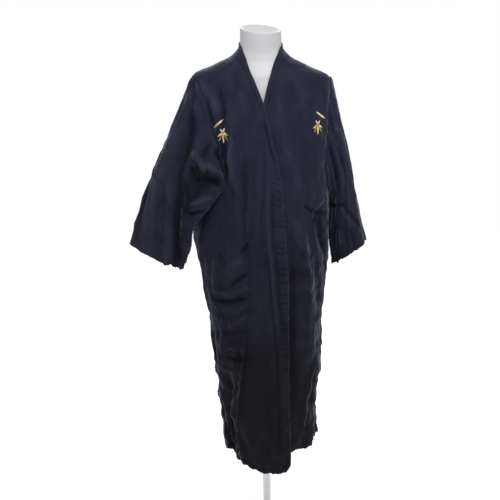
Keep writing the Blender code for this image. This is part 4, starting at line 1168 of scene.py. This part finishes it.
def motif_threads(name, side, shapes, radius, material):
    """Satin stitch over the cloth for each shape of a motif. The two sides mirror each other."""
    degrees, level, spin = MOTIF_PLACE[side]
    here = on_side(side, degrees, level, 0.0)
    per_degree = np.linalg.norm(on_side(side, degrees + 1, level, 0.0) - here)
    c, s = math.cos(math.radians(spin)), math.sin(math.radians(spin))
    lines = []
    for start, end in (pair for pairs in shapes for pair in pairs):
        share = np.linspace(0, 1, 7 if np.hypot(*(end - start)) > 0.004 else 5)
        flat = start + np.outer(share, end - start)
        at, high = degrees + flat @ (c, -s) / per_degree, level + flat @ (s, c)
        base = SHELL_INSIDE + SHELL_CLOTH + body_detail(side * np.radians(at), hang(side, at, high))
        crown = base + MOTIF_HIGH * np.sin(math.pi * share) ** 0.6
        line, over = (on_side(side, at, high, out) for out in (crown, crown + CLOTH))
        lines.append((line, (over - line) / CLOTH))
    return threads(name, lines, radius, material)


def motif(side, gold):
    """A small sprig: a branch, and a blossom hanging from it with two sepals and five petals."""
    word = WEARER_SIDE[side]
    sepals = [fan_leaf(*sepal, SEPAL_WIDTH) for sepal in SEPALS]
    petals = [fan_leaf(*petal, PETAL_WIDTH) for petal in PETALS]
    pale = [leaf(*BRANCH), *sepals, *petals[::2]]
    return [
        motif_threads(word + "_sprig", side, pale, THREAD / 2, gold["pale"]),
        motif_threads(word + "_flower", side, petals[1::2], THREAD / 2, gold["deep"]),
        motif_threads(word + "_flower_centre", side, [map(knot, range(KNOTS))], THREAD * 0.8, gold["pale"]),
    ]


def form_skin(material, cap_material):
    """The dress form as a smooth skin, with the rounded edge of its cut neck and the cap in it."""
    angles = np.linspace(0, 2 * math.pi, FORM_COLUMNS, endpoint=False)
    foot, neck_half = FORM[0][0], FORM[-1][1]
    # each ring's level, how far in it lies from the form's own section, how far up
    steps = [(foot, *rounding) for rounding in FOOT_ROUNDING]
    steps += [(level, 0.0, 0.0) for level in np.linspace(foot, FORM_TORSO_TOP, FORM_TORSO_ROWS)]
    steps += [(level, 0.0, 0.0) for level in np.linspace(FORM_NECK_FOOT, NECK_TOP, FORM_NECK_ROWS)[:-2]]
    for turn in np.linspace(0, math.pi / 2, NECK_EDGE_ROWS):
        steps.append((NECK_TOP, NECK_EDGE * (1 - math.cos(turn)), NECK_EDGE * (math.sin(turn) - 1)))
    steps += [(NECK_TOP, neck_half * share, 0.0) for share in CAP_SHARES]
    rings = []
    for level, inset, up in steps:
        square = 2 + FORM_SQUARENESS * ease((SHOULDER_TOP - level) / SHOULDER_DEPTH)
        radius = oval(angles, *read(FORM, level), square) - inset
        x, y = radius * np.sin(angles), -radius * np.cos(angles)
        slant = ease((level - NECK_STRAIGHT) / (NECK_TOP - NECK_STRAIGHT))
        tilt = math.tan(NECK_TILT_FRONT) * y - math.tan(NECK_TILT_SIDE) * x
        rings.append(np.stack([x, y, level - lean(level) * x * (1 - slant) + slant * tilt + up], 1))
    index = closed_rows(np.arange(len(rings) * FORM_COLUMNS).reshape(-1, FORM_COLUMNS))
    faces = [index[0, :-1][::-1].tolist(), *grid_faces(index).tolist(), index[-1, :-1].tolist()]
    skin = mesh_object("form_skin", np.concatenate(rings), faces, material, cap_material)
    for face in skin.data.polygons[-len(CAP_SHARES) * FORM_COLUMNS - 1 :]:
        face.material_index = 1
    return skin


class Shader:
    """A material being built: each call adds a node and links or sets its inputs by name."""

    def __init__(self, name):
        self.material = bpy.data.materials.new(name)
        self.material.use_nodes = True
        self.tree = self.material.node_tree
        self.spot = self.add("TexCoord", output="Object")

    def put(self, node, values):
        for key, value in values.items():
            if isinstance(value, bpy.types.NodeSocket):
                self.tree.links.new(value, node.inputs[key])
            else:
                node.inputs[key].default_value = value

    def add(self, kind, values=None, output=0, **settings):
        node = self.tree.nodes.new("ShaderNode" + kind)
        for key, value in settings.items():
            setattr(node, key, value)
        self.put(node, values or {})
        return node.outputs[output]

    def noise(self, place, scale, detail=2.0, stretch=(1, 1, 1)):
        where = self.add("Mapping", {"Vector": place, "Scale": stretch})
        return self.add("TexNoise", {"Vector": where, "Scale": scale, "Detail": detail}, output="Fac")

    def math(self, operation, first, second):
        return self.add("Math", {0: first, 1: second}, operation=operation)

    def ramp(self, value, low, high):
        return self.add("MapRange", {"Value": value, "From Min": low, "From Max": high})

    def span(self, value, low, high):
        return self.add("MapRange", {"Value": value, "To Min": low, "To Max": high})

    def mix(self, share, first, second, blend="MIX"):
        node = self.tree.nodes.new("ShaderNodeMix")
        node.data_type = "RGBA"
        node.blend_type = blend
        self.put(node, {0: share, 6: first, 7: second})
        return node.outputs[2]

    def bump(self, height, distance, strength=1.0, **values):
        return self.add("Bump", {"Height": height, "Distance": distance, "Strength": strength, **values})

    def done(self, colour, roughness, values):
        """The material, with its surface's values set."""
        values = {"Base Color": colour, "Roughness": roughness, **values}
        self.put(self.tree.nodes["Principled BSDF"], values)
        return self.material


def cloth_material():
    """Dark navy cotton: a plain weave with uneven yarns, a soft sheen and paler worn edges, with painted
    light: paler higher up, painted shade in troughs and hollows, and paler ridges, partly as wear and partly
    as painted highlight.
    """
    shader = Shader("navy_cotton")
    place = shader.add("UVMap", uv_map="cloth")
    yarn = {"Vector": place, "Scale": WEAVE_SCALE}
    warp, weft = (shader.add("TexWave", yarn, output="Fac", bands_direction=way) for way in "XY")
    long_slubs, cross_slubs = (shader.noise(place, 1.0, 3.0, way) for way in (LONG_SLUBS, CROSS_SLUBS))
    slubs = shader.math("ADD", long_slubs, cross_slubs)
    broad = shader.noise(shader.spot, 4.5, 4.0)
    patches = shader.noise(shader.spot, 26.0, 4.0, (1, 1, 0.45))
    grain = shader.ramp(slubs, 0.75, 1.25)
    # Painted light: the colour goes, a little unevenly, from a shaded navy low down to a lit navy high up
    level = shader.add("SeparateXYZ", {"Vector": shader.spot}, output=2)
    uneven = shader.math("MULTIPLY", shader.math("SUBTRACT", broad, 0.5), 0.45)
    painted_light_by_height = shader.ramp(shader.math("ADD", level, uneven), PAINTED_LIGHT_FROM, PAINTED_LIGHT_TO)
    low = shader.mix(grain, NAVY_PAINTED_DIM_DEEP, NAVY_PAINTED_DIM)
    colour = shader.mix(painted_light_by_height, low, shader.mix(grain, NAVY_PAINTED_LIT_DEEP, NAVY_PAINTED_LIT))
    relief_wear_and_painted_light, worn = (shader.add("Attribute", output="Fac", attribute_name=name) for name in ("relief_wear_and_painted_light", "wear"))
    # The relief paints ridges paler, partly as wear and partly as highlight, and troughs darker as painted
    # shade
    colour = shader.mix(shader.ramp(relief_wear_and_painted_light, RIDGE_FROM, 1.0), colour, RIDGE_WEAR_AND_PAINTED_HIGHLIGHT, "MULTIPLY")
    colour = shader.mix(shader.ramp(relief_wear_and_painted_light, TROUGH_FROM, -1.0), colour, TROUGH_PAINTED_SHADE, "MULTIPLY")
    colour = shader.mix(shader.ramp(patches, 0.62, 0.38), colour, NAVY_PATCH, "MULTIPLY")
    worn = shader.math("MULTIPLY", worn, shader.ramp(patches, 0.30, 0.75))
    colour = shader.mix(shader.math("MULTIPLY", worn, WEAR_SHOWN), colour, NAVY_WORN)
    crumpled = shader.bump(shader.noise(shader.spot, 24.0, 4.0, (1, 1, 0.6)), CRUMPLE_BUMP)
    weave = shader.math("MULTIPLY", shader.math("MULTIPLY", warp, weft), 0.6)
    normal = shader.bump(shader.math("ADD", weave, slubs), WEAVE_BUMP, 0.7, Normal=crumpled)
    sheen = {"Sheen Weight": 0.27, "Sheen Roughness": 0.32, "Sheen Tint": SHEEN_TINT}
    fixed = {"Normal": normal, **sheen, "Specular IOR Level": 0.08}
    return shader.done(colour, shader.span(patches, *CLOTH_ROUGHNESS), fixed)


def thread_material(name, pale, dark, roughness, metallic=0.0):
    """Twisted thread whose colour drifts along the work."""
    shader = Shader(name)
    drift = shader.ramp(shader.noise(shader.spot, 95.0), 0.36, 0.66)
    normal = shader.bump(shader.noise(shader.spot, 2600.0, 1.0), 0.0001, 0.5)
    fixed = {"Normal": normal, "Metallic": metallic, "Sheen Weight": 0.2}
    return shader.done(shader.mix(drift, dark, pale), roughness, fixed)


def form_material():
    """White moulded plastic, semi-gloss, with a faint unevenness."""
    shader = Shader("white_plastic")
    wide = shader.noise(shader.spot, 9.0)
    colour = shader.mix(shader.ramp(wide, 0.35, 0.70), FORM_WHITE, FORM_SHADE)
    rough = shader.span(shader.noise(shader.spot, 160.0, 3.0), *FORM_ROUGHNESS)
    fixed = {"Normal": shader.bump(wide, 0.0012, 0.25), "Coat Weight": 0.12, "Coat Roughness": 0.30}
    return shader.done(colour, rough, fixed)


def matte_material(name, scale, detail, pale, shade, specular):
    """A matte finish that drifts between two shades."""
    shader = Shader(name)
    colour = shader.mix(shader.noise(shader.spot, scale, detail), pale, shade)
    return shader.done(colour, MATTE_ROUGHNESS, {"Specular IOR Level": specular})


def steel_material(name, stretch):
    """Brushed steel, its brushing drawn out one way."""
    shader = Shader(name)
    brushed = shader.noise(shader.spot, 60.0, 4.0, stretch)
    tone = shader.mix(shader.ramp(shader.noise(shader.spot, 14.0, 3.0), 0.3, 0.8), STEEL, STEEL_SHADE)
    fixed = {"Normal": shader.bump(brushed, 0.0002, 0.3), "Metallic": 1.0}
    return shader.done(tone, shader.span(brushed, *STEEL_ROUGHNESS), fixed)


def place_camera():
    """The photograph's view, from a little above the shoulders, tipped down and slightly turned."""
    tip, turn, roll = (math.radians(v) for v in (CAMERA_TIP, CAMERA_TURN, CAMERA_ROLL))
    ahead = Vector((-math.sin(turn) * math.cos(tip), math.cos(turn) * math.cos(tip), -math.sin(tip)))
    right = ahead.cross(Vector((0, 0, 1))).normalized()
    facing = Matrix((right, right.cross(ahead), -ahead)).transposed().to_4x4()
    data = bpy.data.cameras.new("camera")
    data.lens = CAMERA_LENS
    camera = bpy.data.objects.new("camera", data)
    camera.matrix_world = Matrix.Translation(CAMERA_PLACE) @ facing @ Matrix.Rotation(roll, 4, "Z")
    bpy.context.scene.collection.objects.link(camera)
    bpy.context.scene.camera = camera


def add_light(data, place, target):
    light = bpy.data.objects.new(data.name, data)
    light.location = place
    light.rotation_mode = "QUATERNION"
    light.rotation_quaternion = (Vector(target) - Vector(place)).to_track_quat("-Z", "Y")
    bpy.context.scene.collection.objects.link(light)


def light_studio():
    """A broad key from above the camera's right, a softbox, a light behind, and a pale surround."""
    world = bpy.data.worlds.new("studio")
    bpy.context.scene.world = world
    world.use_nodes = True
    world.node_tree.nodes["Background"].inputs["Color"].default_value = SURROUND
    world.node_tree.nodes["Background"].inputs["Strength"].default_value = SURROUND_STRENGTH
    sun = bpy.data.lights.new("soft_sun", "SUN")
    sun.energy, sun.angle = SUN_STRENGTH, math.radians(SUN_SPREAD)
    add_light(sun, SUN_FROM, (0, 0, 0))
    for name, size, power, place, target in AREA_LIGHTS:
        box = bpy.data.lights.new(name, "AREA")
        box.shape, box.size, box.energy = "DISK", size, power
        add_light(box, place, target)
    bpy.context.scene.view_settings.view_transform = "Standard"


def lay_floor():
    corners = [(x * FLOOR_HALF, y * FLOOR_HALF, FLOOR_BELOW) for x, y in ((-1, -1), (1, -1), (1, 1), (-1, 1))]
    material = matte_material("pale_floor", 1.5, 2.0, FLOOR_PALE, FLOOR_SHADE, 0.1)
    mesh_object("floor", np.array(corners), [[0, 1, 2, 3]], material)


def dress(piece, nodes, flat, area, rests_on, with_pieces):
    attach(piece, BODY)
    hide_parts(*nodes)
    for small in with_pieces:
        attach(small, BODY)


def dress_side(side, cloth, thread, gold):
    """One half of the robe: its panel with the motif, its overlap gore and its sleeve."""
    word = WEARER_SIDE[side]
    nets = body_panel(side)
    panel = shell(word + "_panel_cloth", nets, cloth)
    hem_row = int(np.argmax(nets[2][:, 0, 1] > HEM_TURN))
    hems = sewing(word + "_panel_stitches", nets, (hem_row, len(nets[0]) - 1 - hem_row), thread)
    nodes = [f"{word}_panel_{length}" for length in PANEL_LENGTHS]
    dress(panel, nodes, *PANEL_CUT, ["form_skin"], [hems, *motif(side, gold)])

    nets = gore(side)
    gore_cloth = shell(word + "_gore_cloth", nets, cloth)
    hem = sewing(word + "_gore_stitches", nets, (hem_row,), thread)
    dress(gore_cloth, (word + "_overlap_gore",), *GORE_CUT[side], [panel.name], [hem])

    nets = sleeve(side)
    sleeve_cloth = shell(word + "_sleeve_cloth", nets, cloth, tube=True)
    to_cuff = nets[2][-1, 0, 1] - nets[2][:, 0, 1]
    cuff = sewing(word + "_cuff_stitches", nets, (int(np.argmin(np.abs(to_cuff - HEM_TURN))),), thread)
    dress(sleeve_cloth, (word + "_sleeve",), *SLEEVE_CUT, [panel.name], [cuff])


def main():
    cloth = cloth_material()
    thread = thread_material("navy_thread", NAVY_THREAD, NAVY_THREAD_DEEP, THREAD_ROUGHNESS)
    gold = {
        word: thread_material(word + "_gold_thread", *colours, GOLD_ROUGHNESS, GOLD_METALLIC)
        for word, colours in (("pale", (GOLD_PALE, GOLD_MID)), ("deep", (GOLD_MID, GOLD_BROWN)))
    }
    skin = form_skin(form_material(), matte_material("neck_cap_grey", 40.0, 3.0, CAP_GREY, CAP_SHADE, 0.0))
    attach(skin, BODY)
    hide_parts("dress_form")
    for side in (RIGHT, LEFT):
        dress_side(side, cloth, thread, gold)
    nets = band()
    collar = shell("collar_band_cloth", nets, cloth)
    across_nets = [net.swapaxes(0, 1) for net in nets[:2]]
    seam = sewing("band_stitches", across_nets, (BAND_COLUMNS - 1,), thread)
    dress(collar, ("collar_band",), *BAND_CUT, ["form_skin"], [seam])
    for node, word, stretch in (("stand_pole", "pole", (1, 1, 0.04)), ("stand_base", "base", (0.06, 1, 1))):
        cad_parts[node].data.materials.clear()
        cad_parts[node].data.materials.append(steel_material(word + "_steel", stretch))
    lay_floor()
    light_studio()
    place_camera()


main()
